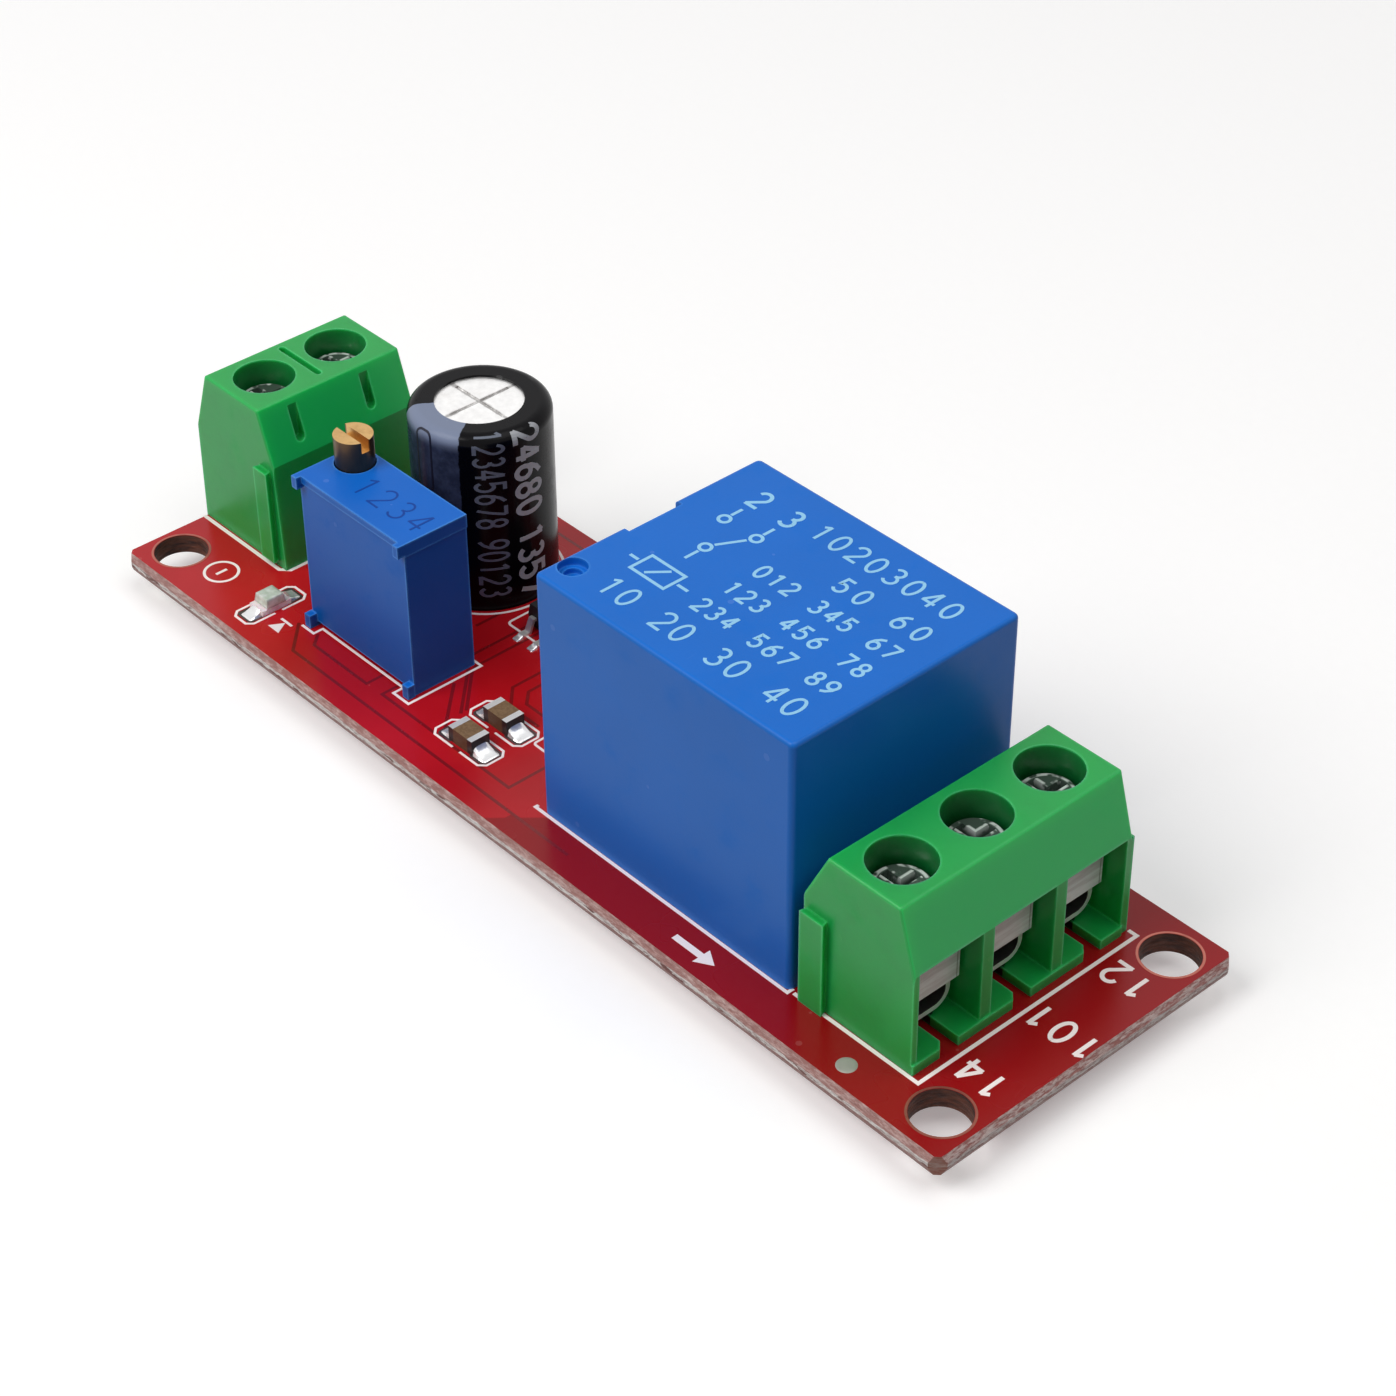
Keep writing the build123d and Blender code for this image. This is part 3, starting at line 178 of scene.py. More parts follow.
def rounded(x, y, width, height, radius, count=6):
    """Outline of a rectangle about (x, y) with round corners: a quarter circle at each corner in turn."""
    quarter = np.radians(np.arange(4)[:, None] * 90 + np.linspace(0, 90, count)[None, :])
    sign = np.array([(1, 1), (-1, 1), (-1, -1), (1, -1)])
    middle = np.array([x, y]) + sign * (np.array([width, height]) / 2 - radius)
    points = middle[:, None, :] + radius * np.stack([np.cos(quarter), np.sin(quarter)], -1)
    return points.reshape(-1, 2)


DIGIT_WIDTH = 0.6       # of its height, and each stroke is laid out in a box of this width and a height of 1
DIGITS = {
    "0": [arc(0.3, 0.5, 0.25, 0.47, 90, 450, 33)],
    "1": [[(0.12, 0.8), (0.34, 0.95)], [(0.34, 0.98), (0.34, 0.03)]],
    "2": [np.vstack([arc(0.3, 0.7, 0.25, 0.27, 165, -35), [(0.05, 0.03)]]), [(0.02, 0.03), (0.58, 0.03)]],
    "3": [arc(0.28, 0.745, 0.22, 0.225, 150, -90), arc(0.28, 0.27, 0.26, 0.25, 90, -150)],
    "4": [[(0.4, 0.97), (0.03, 0.3)], [(0.0, 0.3), (0.58, 0.3)], [(0.42, 0.98), (0.42, 0.03)]],
    "5": [np.vstack([[(0.52, 0.97), (0.12, 0.97), (0.08, 0.55)], arc(0.28, 0.32, 0.26, 0.29, 120, -150)])],
    "6": [arc(0.3, 0.3, 0.25, 0.27, 0, 360, 25), [(0.5, 0.96), (0.28, 0.82), (0.12, 0.6), (0.05, 0.3)]],
    "7": [[(0.03, 0.97), (0.59, 0.97)], [(0.57, 0.97), (0.22, 0.03)]],
    "8": [arc(0.3, 0.74, 0.21, 0.23, -90, 270, 25), arc(0.3, 0.27, 0.25, 0.24, 90, 450, 25)],
    "9": [arc(0.3, 0.7, 0.25, 0.27, 0, 360, 25), [(0.55, 0.7), (0.48, 0.4), (0.32, 0.18), (0.1, 0.04)]],
    "-": [[(0.05, 0.5), (0.55, 0.5)]],
    "+": [[(0.02, 0.5), (0.58, 0.5)], [(0.3, 0.22), (0.3, 0.78)]],
}


def dense(path, step=0.2):
    """The same broken line with points added at even steps, so that it bends round the sleeve."""
    path = np.asarray(path, float)
    runs = np.linalg.norm(np.diff(path, axis=0), axis=1)
    length = np.concatenate([[0], np.cumsum(runs)])
    at = np.union1d(length, np.arange(0, length[-1], step))
    return np.stack([np.interp(at, length, path[:, 0]), np.interp(at, length, path[:, 1])], 1)


def write(shape, text, x, y, height, stroke, low, high, place, spacing=0.82):
    """Draws plain digits about the middle of a line: each is a few ribbons, scaled to the height.

    Each stroke of a digit is a trace higher than the one before, so that none lies in another's surface.
    A sign that has no strokes, such as a space, leaves a gap.
    """
    start = x - height * spacing * len(text) / 2 + height * (spacing - DIGIT_WIDTH) / 2
    for number, letter in enumerate(text):
        for order, line in enumerate(DIGITS.get(letter, [])):
            points = np.asarray(line, float) * height
            points += (start + number * spacing * height, y - height / 2)
            ribbon(shape, dense(points), stroke, low, high + 0.004 * order, place)


def turned_profile(shape, profile, x, y, count=64):
    """A surface of revolution: the profile's (radius, height) points go round an upright axis at (x, y)."""
    angle = np.linspace(0, 2 * np.pi, count, endpoint=False)
    radius = profile[:, 0][:, None]
    points = np.stack([x + radius * np.cos(angle), y + radius * np.sin(angle),
                       np.repeat(profile[:, 1][:, None], count, 1)], -1)
    return shape.add(points, band_faces(len(profile), count, closed_columns=True)[:, ::-1])


# Node helpers

def colour(red, green, blue):
    """A colour read in 0 to 255 steps, turned into the renderer's linear values."""
    c = np.array([red, green, blue]) / 255
    return (*np.where(c <= 0.04045, c / 12.92, ((c + 0.055) / 1.055) ** 2.4), 1.0)


class Nodes:
    """A short way of placing and joining nodes in one tree."""

    def __init__(self, tree):
        self.tree = tree

    def add(self, kind, settings=None, **inputs):
        """A new node with its settings, and its inputs by name, written with _ for each space."""
        node = self.tree.nodes.new(kind)
        for name, value in (settings or {}).items():
            setattr(node, name, value)
        for name, value in inputs.items():
            self.feed(node.inputs[name.replace("_", " ")], value)
        return node

    def feed(self, socket, value):
        """Joins another node's output to the socket, or sets a constant on it."""
        if isinstance(value, bpy.types.NodeSocket):
            self.tree.links.new(value, socket)
        elif value is not None:
            socket.default_value = value

    def math(self, operation, a, b=None, c=None):
        node = self.add("ShaderNodeMath", {"operation": operation})
        for socket, value in zip(node.inputs, (a, b, c)):
            self.feed(socket, value)
        return node.outputs[0]

    def plus(self, a, b):
        return self.math("ADD", a, b)

    def minus(self, a, b):
        return self.math("SUBTRACT", a, b)

    def times(self, a, b):
        return self.math("MULTIPLY", a, b)

    def size(self, a):
        return self.math("ABSOLUTE", a)

    def most(self, a, b):
        return self.math("MAXIMUM", a, b)

    def least(self, a, b):
        return self.math("MINIMUM", a, b)

    def apart(self, a, b):
        """How far two numbers lie from each other."""
        return self.size(self.minus(a, b))

    def vector(self, operation, a, b=None):
        node = self.add("ShaderNodeVectorMath", {"operation": operation})
        for socket, value in zip(node.inputs, (a, b)):
            self.feed(socket, value)
        return node.outputs["Value" if operation in ("LENGTH", "DOT_PRODUCT", "DISTANCE") else "Vector"]

    def blend(self, factor, a, b):
        """A colour between two others."""
        node = self.add("ShaderNodeMix", {"data_type": "RGBA"})
        for index, value in ((0, factor), (6, a), (7, b)):
            self.feed(node.inputs[index], value)
        return node.outputs[2]

    def between(self, factor, a, b):
        """A number between two others."""
        node = self.add("ShaderNodeMix", {"data_type": "FLOAT"})
        for index, value in ((0, factor), (2, a), (3, b)):
            self.feed(node.inputs[index], value)
        return node.outputs[0]

    def ramp(self, value, low, high, out_low=0.0, out_high=1.0, smooth=True):
        """Runs from out_low to out_high while the value runs from low to high, and stays level beyond."""
        node = self.add("ShaderNodeMapRange", {"interpolation_type": "SMOOTHSTEP" if smooth else "LINEAR"})
        for socket, number in zip(node.inputs, (value, low, high, out_low, out_high)):
            self.feed(socket, number)
        return node.outputs[0]

    def noise(self, vector, scale, detail=3.0, rough=0.55):
        node = self.add("ShaderNodeTexNoise", Vector=vector, Scale=scale, Detail=detail, Roughness=rough)
        return node.outputs[0]

    def group(self, tree, **inputs):
        """A shared node group with values of its own: gives its outputs."""
        return self.add("ShaderNodeGroup", {"node_tree": tree}, **inputs).outputs

    def place(self):
        return self.add("ShaderNodeTexCoord").outputs["Object"]

    def split(self, vector):
        return self.add("ShaderNodeSeparateXYZ", Vector=vector).outputs

    def facing(self):
        """Which way the surface faces: its normal's x, y and z."""
        return self.split(self.add("ShaderNodeTexCoord").outputs["Normal"])


def new_group(name, inputs, outputs):
    """An empty node group with named sockets: returns its node helper, its inputs and its output node."""
    tree = bpy.data.node_groups.new(name, "ShaderNodeTree")
    for label, kind, value in inputs:
        socket = tree.interface.new_socket(label, in_out="INPUT", socket_type=kind)
        if value is not None:
            socket.default_value = value
    for label, kind in outputs:
        tree.interface.new_socket(label, in_out="OUTPUT", socket_type=kind)
    made = Nodes(tree)
    return made, made.add("NodeGroupInput").outputs, made.add("NodeGroupOutput").inputs


VECTOR, FLOAT, RGBA = "NodeSocketVector", "NodeSocketFloat", "NodeSocketColor"


def make_moulded_group():
    """Moulded plastic: slow drift of tone, a fine grain in the height and a few rubbed patches."""
    g, inp, out = new_group(
        "moulded_surface",
        [("Vector", VECTOR, None), ("Colour", RGBA, (1, 1, 1, 1)), ("Grain Scale", FLOAT, 9000.0),
         ("Roughness", FLOAT, 0.35)],
        [("Colour", RGBA), ("Roughness", FLOAT), ("Height", FLOAT)],
    )
    slow = g.noise(inp["Vector"], 160.0, 2.0)
    grain = g.noise(inp["Vector"], inp["Grain Scale"], 3.0, 0.6)
    tone = g.plus(g.times(g.minus(slow, 0.5), 0.16), g.times(g.minus(grain, 0.5), 0.06))
    bright = g.add("ShaderNodeHueSaturation", Color=inp["Colour"], Value=g.plus(tone, 1.0))
    g.feed(out["Colour"], bright.outputs[0])
    rubbed = g.ramp(g.noise(inp["Vector"], 420.0, 4.0, 0.7), 0.5, 0.75)
    g.feed(out["Roughness"], g.plus(inp["Roughness"], g.times(rubbed, 0.12)))
    g.feed(out["Height"], g.plus(g.times(grain, 0.6), g.times(slow, 1.5)))
    return g.tree


def make_dust_group():
    """Dust and pin scratches: small bright specks and short thin lines, as one mask."""
    g, inp, out = new_group(
        "dust_and_scratches", [("Vector", VECTOR, None), ("Scale", FLOAT, 700.0)], [("Mask", FLOAT)],
    )
    cells = g.add("ShaderNodeTexVoronoi", {"feature": "F1"}, Vector=inp["Vector"], Scale=inp["Scale"])
    pick = g.add("ShaderNodeSeparateColor", Color=cells.outputs["Color"]).outputs[0]
    size = g.times(g.ramp(pick, 0.86, 1.0, smooth=False), 0.16)
    speck = g.math("LESS_THAN", cells.outputs["Distance"], size)
    stretched = g.add("ShaderNodeMapping", Vector=inp["Vector"], Rotation=(0, 0, 0.7), Scale=(1.0, 0.06, 0.3))
    streak = g.ramp(g.noise(stretched.outputs[0], 2600.0, 2.0), 0.75, 0.82)
    g.feed(out["Mask"], g.most(g.times(speck, 0.7), streak))
    return g.tree


def make_metal_group():
    """Worked metal: long fine streaks across the tone, roughness and height, and dull stains."""
    g, inp, out = new_group(
        "worked_metal",
        [("Vector", VECTOR, None), ("Colour", RGBA, (1, 1, 1, 1)), ("Stain", RGBA, (0.4, 0.4, 0.4, 1)),
         ("Streaks", VECTOR, (1.0, 1.0, 1.0)), ("Scale", FLOAT, 2500.0), ("Roughness", FLOAT, 0.25),
         ("Wear", FLOAT, 1.0)],
        [("Colour", RGBA), ("Roughness", FLOAT), ("Height", FLOAT)],
    )
    stretched = g.vector("MULTIPLY", inp["Vector"], inp["Streaks"])
    streak = g.noise(stretched, inp["Scale"], 4.0, 0.6)
    stain = g.ramp(g.noise(inp["Vector"], 600.0, 4.0, 0.65), 0.5, 0.8)
    drift = g.times(g.times(g.minus(streak, 0.5), 0.3), inp["Wear"])
    toned = g.add("ShaderNodeHueSaturation", Color=inp["Colour"], Value=g.plus(drift, 1.0))
    faded = g.times(g.times(stain, 0.5), inp["Wear"])
    g.feed(out["Colour"], g.blend(faded, toned.outputs[0], inp["Stain"]))
    rough = g.plus(g.times(streak, 0.12), g.times(stain, 0.2))
    g.feed(out["Roughness"], g.plus(rough, inp["Roughness"]))
    g.feed(out["Height"], streak)
    return g.tree


def make_edge_group():
    """Edges that catch light: where the surface turns within a short reach, broken up by a slow noise."""
    g, inp, out = new_group(
        "edge_light", [("Vector", VECTOR, None), ("Reach", FLOAT, 0.22 * MM)], [("Mask", FLOAT)],
    )
    rounded_off = g.add("ShaderNodeBevel", {"samples": 4}, Radius=inp["Reach"]).outputs[0]
    surface = g.add("ShaderNodeNewGeometry").outputs["Normal"]
    turned = g.ramp(g.vector("DOT_PRODUCT", rounded_off, surface), 0.88, 0.995, 1.0, 0.0)
    broken = g.ramp(g.noise(inp["Vector"], 700.0, 3.0), 0.3, 0.6, 0.6, 1.0)
    g.feed(out["Mask"], g.times(turned, broken))
    return g.tree


MOULDED = make_moulded_group()
EDGES = make_edge_group()
DUST = make_dust_group()
WORKED = make_metal_group()


def new_material(name):
    """A material with its Principled shader: returns it, its node helper and the shader's inputs."""
    material = bpy.data.materials.new(name)
    material.use_nodes = True
    n = Nodes(material.node_tree)
    return material, n, material.node_tree.nodes["Principled BSDF"].inputs


def bump(n, shader, height, strength, distance, normal=None):
    """Relief of the surface, with its depth in millimetres."""
    node = n.add("ShaderNodeBump", Strength=strength, Distance=distance * MM, Height=height, Normal=normal)
    n.feed(shader["Normal"], node.outputs[0])


def plastic(name, base, roughness=0.35, specular=0.3, grain=9000.0, depth=0.25, dust=0.25, shade=None,
            soft=0.0, edge=None):
    """Moulded plastic of one colour, with its grain, drift of tone and dust.

    shade adds marks of its own and painted light and shade, edge is the colour of edges that catch light, and
    soft is the share of the light that spreads inside the plastic.
    """
    material, n, shader = new_material(name)
    where = n.place()
    moulded = n.group(MOULDED, Vector=where, Colour=base, Grain_Scale=grain, Roughness=roughness)
    pale = tuple(min(1.0, c + 0.25) for c in base[:3]) + (1.0,)
    tint = n.blend(n.times(n.group(DUST, Vector=where)[0], dust), moulded["Colour"], pale)
    if shade:
        tint = shade(n, where, tint)
    if edge:
        tint = n.blend(n.times(n.group(EDGES, Vector=where)[0], 0.75), tint, edge)
    n.feed(shader["Base Color"], tint)
    n.feed(shader["Roughness"], moulded["Roughness"])
    shader["Specular IOR Level"].default_value = specular
    if soft:
        shader["Subsurface Weight"].default_value = soft
        shader["Subsurface Radius"].default_value = (0.3, 1.0, 0.45)
        shader["Subsurface Scale"].default_value = 1.6 * MM
    bump(n, shader, moulded["Height"], depth, 0.02)
    return material


def ink(name, base, roughness=0.4):
    """Print on board and parts: a very fine grain and hardly any dust."""
    return plastic(name, base, roughness, 0.3, 16000.0, 0.6, 0.05)


def metal(name, base, stain, roughness=0.2, streaks=(1.0, 1.0, 1.0), scale=2500.0, depth=0.2, wear=1.0,
          metallic=1.0, shade=None):
    """Bare or plated metal with its streaks and stains. A dull plating is less than fully metallic."""
    material, n, shader = new_material(name)
    where = n.place()
    worked = n.group(WORKED, Vector=where, Colour=base, Stain=stain, Streaks=streaks, Scale=scale,
                     Roughness=roughness, Wear=wear)
    tint = worked["Colour"]
    if shade:
        tint = shade(n, where, tint)
    n.feed(shader["Base Color"], tint)
    n.feed(shader["Roughness"], worked["Roughness"])
    shader["Metallic"].default_value = metallic
    bump(n, shader, worked["Height"], depth, 0.01)
    return material


# Board material

TOP_GAPS = [
    [(12.7, 3.35), (14.6, 1.53), (38.6, 1.53)],
    [(14.3, 3.5), (15.0, 2.72), (19.85, 2.72), (19.85, 4.6)],
    [(21.2, 4.6), (21.2, 2.77), (32.25, 2.77), (32.25, 5.4), (34.0, 7.1)],
    [(21.75, 13.2), (21.75, 8.6), (25.5, 4.9)],
    [(22.7, 13.4), (22.7, 8.2), (23.0, 7.7), (25.5, 5.3)],
    [(23.1, 6.35), (25.4, 4.0), (26.4, 3.0)],
    [(25.6, 12.5), (25.6, 8.5), (26.9, 7.3), (29.3, 7.3)],
    [(26.5, 12.0), (26.5, 8.9), (27.3, 8.1), (33.0, 8.1)],
    [(19.75, 12.6), (19.75, 10.6)],
    [(2.0, 20.0), (34.0, 20.0)],
]
UNDER_GAPS = [
    [(5.6, 8.6), (9.5, 4.6), (24.0, 4.6), (27.5, 8.2)],
    [(5.6, 13.4), (12.0, 17.6), (30.0, 17.6), (34.5, 13.2)],
    [(17.9, 13.4), (22.0, 9.4), (30.0, 9.4)],
    [(37.8, 6.4), (44.0, 6.4), (47.5, 9.9), (47.5, 17.2)],
    [(35.3, 9.0), (41.5, 15.0), (56.0, 15.0)],
    [(51.5, 3.6), (56.5, 3.6), (57.6, 4.7)],
    [(20.0, 4.6), (20.0, 2.0), (48.0, 2.0)],
]


def make_laminate():
    """Circuit board: red mask over copper and its gaps, rough glass fibre at the edges, plated holes."""
    material, n, shader = new_material("masked_laminate")
    where = n.place()
    x, y, z = n.split(where)
    facing = n.facing()
    level = n.ramp(n.size(facing[2]), 0.93, 0.97)
    is_top = n.math("GREATER_THAN", z, (BOARD_TOP + BOARD_UNDER) / 2 * MM)

    # The copper under the mask ends at a slanted line near the relay's corner
    along = n.plus(x, n.times(y, -0.9))
    bare = n.times(n.ramp(along, 9.1 * MM, 9.3 * MM), is_top)
    edge_strip = n.times(n.math("GREATER_THAN", x, 0.55 * MM), n.math("LESS_THAN", y, -9.2 * MM))
    bare = n.most(bare, n.times(edge_strip, is_top))
    slow = n.noise(where, 90.0, 3.0, 0.6)
    red = n.blend(n.ramp(slow, 0.35, 0.68), colour(178, 14, 24), colour(194, 22, 32))
    red = n.blend(n.times(bare, 0.85), red, colour(142, 9, 15))
    dust = n.group(DUST, Vector=where, Scale=900.0)[0]
    red = n.blend(n.times(dust, 0.16), red, colour(225, 150, 150))

    # Snapped glass fibre: pale bundles along the edge with dark cracks and bright glints
    fibres = n.add("ShaderNodeMapping", Vector=where, Scale=(0.35, 0.35, 1.6)).outputs[0]
    weave = n.noise(fibres, 4200.0, 5.0, 0.75)
    crack = n.noise(fibres, 1500.0, 4.0, 0.7)
    fibre = n.blend(n.ramp(weave, 0.35, 0.55), colour(186, 162, 156), colour(244, 238, 234))
    fibre = n.blend(n.ramp(crack, 0.55, 0.62), fibre, colour(120, 78, 72))
    glint = n.ramp(n.noise(fibres, 7000.0, 3.0, 0.8), 0.62, 0.7)
    fibre = n.blend(n.times(glint, 0.9), fibre, colour(244, 236, 234))

    # The fibre shows in a ragged line along the upper edge, with the scored bevel above and below it
    ragged = n.times(n.minus(crack, 0.5), 0.35 * MM)
    height = n.size(n.plus(n.minus(z, 1.93 * MM), ragged))
    scored = n.blend(n.ramp(weave, 0.4, 0.7), colour(160, 112, 106), colour(214, 184, 178))
    scored = n.blend(n.ramp(z, 1.6 * MM, 2.0 * MM, 0.4, 0.0), scored, colour(128, 84, 76))
    side = n.blend(n.ramp(height, 0.11 * MM, 0.16 * MM), fibre, scored)
    clipped = n.times(n.ramp(n.size(facing[0]), 0.3, 0.5), n.ramp(n.size(facing[1]), 0.3, 0.5))
    side = n.blend(n.times(clipped, 0.8), side, colour(140, 80, 56))
    # The board's two ends get patches from reddish to near white
    end_patches = n.blend(n.ramp(weave, 0.42, 0.56), colour(176, 96, 90), colour(255, 240, 236))
    side = n.blend(n.ramp(n.size(facing[0]), 0.6, 0.9, 0.0, 0.4), side, end_patches)

    # Hole walls are plated, and painted dark brown as the shade inside the holes
    flat = n.vector("MULTIPLY", where, (1.0, 1.0, 0.0))
    away = None
    for x, y in MOUNT_HOLES:
        distance = n.vector("DISTANCE", flat, (x * MM, y * MM, 0.0))
        away = distance if away is None else n.least(away, distance)
    wall = n.blend(n.ramp(n.noise(fibres, 2400.0, 4.0), 0.3, 0.7), colour(44, 17, 13), colour(112, 66, 50))
    side = n.blend(n.ramp(away, 1.7 * MM, 1.75 * MM, 1.0, 0.0), side, wall)

    n.feed(shader["Base Color"], n.blend(level, side, red))
    glossy = n.plus(n.times(slow, 0.12), 0.2)
    n.feed(shader["Roughness"], n.between(level, n.ramp(weave, 0.3, 0.7, 0.35, 0.75), glossy))
    shader["Specular IOR Level"].default_value = 0.3
    relief = n.times(n.noise(where, 2500.0, 2.0), 0.12)
    rugged = n.times(n.plus(weave, n.times(crack, -1.5)), 4.0)
    bump(n, shader, n.between(level, rugged, relief), 0.8, 0.03)
    return material


# Finishes, with painted light and shade

def about_capacitor(n, where):
    """The place measured from the capacitor's axis."""
    return n.vector("SUBTRACT", where, (CAPACITOR[0] * MM, CAPACITOR[1] * MM, 0.0))


def screw_offsets(n, x, y):
    """How far a point lies from the nearest screw's axis: along the board, across it, and straight."""
    is_output = n.math("GREATER_THAN", x, 0.0)
    screw_x, screw_y = (
        n.plus(n.times(is_output, (output - at_input) * MM), at_input * MM)
        for output, at_input in zip(OUTPUT_SCREW, INPUT_SCREW)
    )
    across = n.math("WRAP", n.minus(y, screw_y), HALF_PITCH * MM, -HALF_PITCH * MM)
    along = n.minus(x, screw_x)
    squares = n.plus(n.times(across, across), n.times(along, along))
    return along, across, n.math("SQRT", squares)


def well_shade(n, where, tint):
    """Terminal plastic: a trace of grease, painted light on the front slope, and painted shade in the screw
    wells, darker downwards.
    """
    stain = n.ramp(n.noise(where, 520.0, 4.0, 0.7), 0.45, 0.8)
    tint = n.blend(n.times(stain, 0.14), tint, colour(12, 88, 42))
    facing = n.facing()
    # Painted light: faces that look along +x and tilt upwards are lightened
    slope = n.times(n.ramp(facing[0], 0.7, 0.85), n.ramp(facing[2], 0.1, 0.25))
    tint = n.blend(n.times(slope, 0.7), tint, colour(26, 206, 104))
    x, y, z = n.split(where)
    # Painted shade: inside the screw wells the colour darkens with depth below the top
    inside = n.ramp(screw_offsets(n, x, y)[2], 1.83 * MM, 1.9 * MM, 1.0, 0.0)
    depth = n.ramp(z, 9.4 * MM, 12.9 * MM, 0.97, 0.3, smooth=False)
    return n.blend(n.times(inside, depth), tint, colour(2, 24, 14))


def sleeve_shade(n, where, tint):
    """Shrunk film: a worn grey-blue stripe down one side with a ragged border, and a painted highlight on it at
    the shoulder.
    """
    x, y, z = n.split(about_capacitor(n, where))
    off = n.apart(n.math("ARCTAN2", y, x), float(np.radians(-90)))
    ragged = n.times(n.minus(n.noise(where, 3000.0, 3.0), 0.5), 0.05)
    band = n.ramp(n.plus(off, ragged), float(np.radians(33.5)), float(np.radians(34.5)), 1.0, 0.0)
    worn = n.ramp(n.noise(where, 900.0, 5.0, 0.7), 0.3, 0.75)
    stripe = n.blend(worn, colour(40, 46, 68), colour(66, 74, 100))
    # Painted highlight: the stripe turns pale where it runs over the shoulder
    stripe = n.blend(n.ramp(z, 13.1 * MM, 14.0 * MM), stripe, colour(128, 138, 162))
    return n.blend(band, tint, stripe)


def vent_shade(n, where, tint):
    """Scored aluminium: painted shade along the creases beside the cross."""
    centred = about_capacitor(n, where)
    x, y, _ = n.split(centred)
    fold = n.least(n.size(x), n.size(y))
    crease = n.noise(n.vector("MULTIPLY", centred, (1.0, 1.0, 0.0)), 700.0, 4.0, 0.7)
    fold = n.plus(fold, n.times(n.minus(crease, 0.5), 0.5 * MM))
    # Painted shade: grey where the creases of the cross run
    return n.blend(n.ramp(fold, 0.04 * MM, 0.2 * MM, 0.6, 0.0), tint, colour(110, 106, 104))


def brass_shade(n, where, tint):
    """Turned brass: bright on the cut top and in the slot, with a painted dark reflection round its side."""
    side = n.ramp(n.size(n.facing()[2]), 0.3, 0.7, 0.86, 0.0)
    centred = n.vector("SUBTRACT", where, (TRIMMER_SCREW[0] * MM, TRIMMER_SCREW[1] * MM, 0.0))
    reach = n.vector("LENGTH", n.vector("MULTIPLY", centred, (1.0, 1.0, 0.0)))
    outside = n.ramp(reach, 1.0 * MM, 1.1 * MM)
    # Painted reflection: the upright side of the head is darkened
    return n.blend(n.times(side, outside), tint, colour(52, 36, 40))


def clamp_shade(n, where, tint):
    """Clamping cage: bright cut edges at its open ends, and dark within, where little light comes."""
    hollow = n.ramp(n.size(n.facing()[0]), 0.5, 0.8, 0.95, 0.0)
    return n.blend(hollow, tint, colour(14, 12, 12))


def guard_shade(n, where, tint):
    """Wire guards: long darker streaks along the plate, painted shade towards the top, and one dark seam."""
    _, y, z = n.split(where)
    long_streaks = n.noise(n.vector("MULTIPLY", where, (0.15, 0.12, 1.0)), 2200.0, 3.0, 0.6)
    tint = n.blend(n.ramp(long_streaks, 0.4, 0.6, 0.3, 0.0), tint, colour(150, 142, 136))
    # Painted shade: the plate darkens towards its top
    tint = n.blend(n.ramp(z, 6.0 * MM, 7.8 * MM, 0.0, 0.5), tint, colour(116, 106, 102))
    pole = n.math("WRAP", n.plus(y, -0.95 * MM), HALF_PITCH * MM, -HALF_PITCH * MM)
    seam = n.ramp(n.apart(pole, 1.0 * MM), 0.02 * MM, 0.07 * MM, 0.5, 0.0)
    return n.blend(seam, tint, colour(60, 52, 50))


def screw_shade(n, where, tint):
    """Screw heads: dark with the well's reflection, with broken glints on the rim and at the cross."""
    x, y, _ = n.split(where)
    along, across, reach = screw_offsets(n, x, y)
    rim = n.ramp(n.apart(reach, 1.4 * MM), 0.1 * MM, 0.2 * MM, 1.0, 0.0)
    arm = n.least(n.size(along), n.size(across))
    lips = n.ramp(n.apart(arm, 0.3 * MM), 0.05 * MM, 0.14 * MM, 1.0, 0.0)
    lips = n.times(lips, n.math("LESS_THAN", reach, 1.15 * MM))
    broken = n.ramp(n.noise(where, 1100.0, 2.0, 0.6), 0.44, 0.54)
    return n.blend(n.times(n.most(rim, lips), broken), colour(84, 98, 90), tint)


def chip_end_shade(n, where, tint):
    """Plated chip ends: bright on top, dark with reflections at the sides."""
    return n.blend(n.ramp(n.facing()[2], 0.4, 0.8, 0.97, 0.0), tint, colour(20, 14, 14))


def chip_body_shade(n, where, tint):
    """Fired chip bodies: coarse grain on top, and painted shade on their sides."""
    grain = n.ramp(n.noise(where, 6000.0, 3.0, 0.7), 0.4, 0.6)
    tint = n.blend(n.times(grain, 0.4), tint, colour(150, 122, 88))
    # Painted shade: the sides are darkened by their facing
    return n.blend(n.ramp(n.facing()[2], 0.4, 0.8, 0.6, 0.0), tint, colour(40, 26, 20))


def relay_shade(n, where, tint):
    """Relay cover: painted shade, a little greyer, on its long side."""
    # Painted shade on the long side that faces -y
    return n.blend(n.ramp(n.facing()[1], -0.9, -0.5, 0.16, 0.0), tint, colour(20, 84, 130))


def trimmer_shade(n, where, tint):
    """Trimmer housing: painted shade on its long side, deeper towards the board, and the darkest painted shade
    on its end.
    """
    facing = n.facing()
    height = n.split(where)[2]
    # Painted shade: the long side darkens towards the board, and the end is darkened most
    long_side = n.ramp(facing[1], -0.9, -0.5, 1.0, 0.0)
    low = n.times(long_side, n.ramp(height, 3.0 * MM, 12.5 * MM, 0.48, 0.18, smooth=False))
    tint = n.blend(low, tint, colour(0, 58, 108))
    return n.blend(n.ramp(facing[0], 0.6, 0.9, 0.0, 0.45), tint, colour(2, 22, 70))


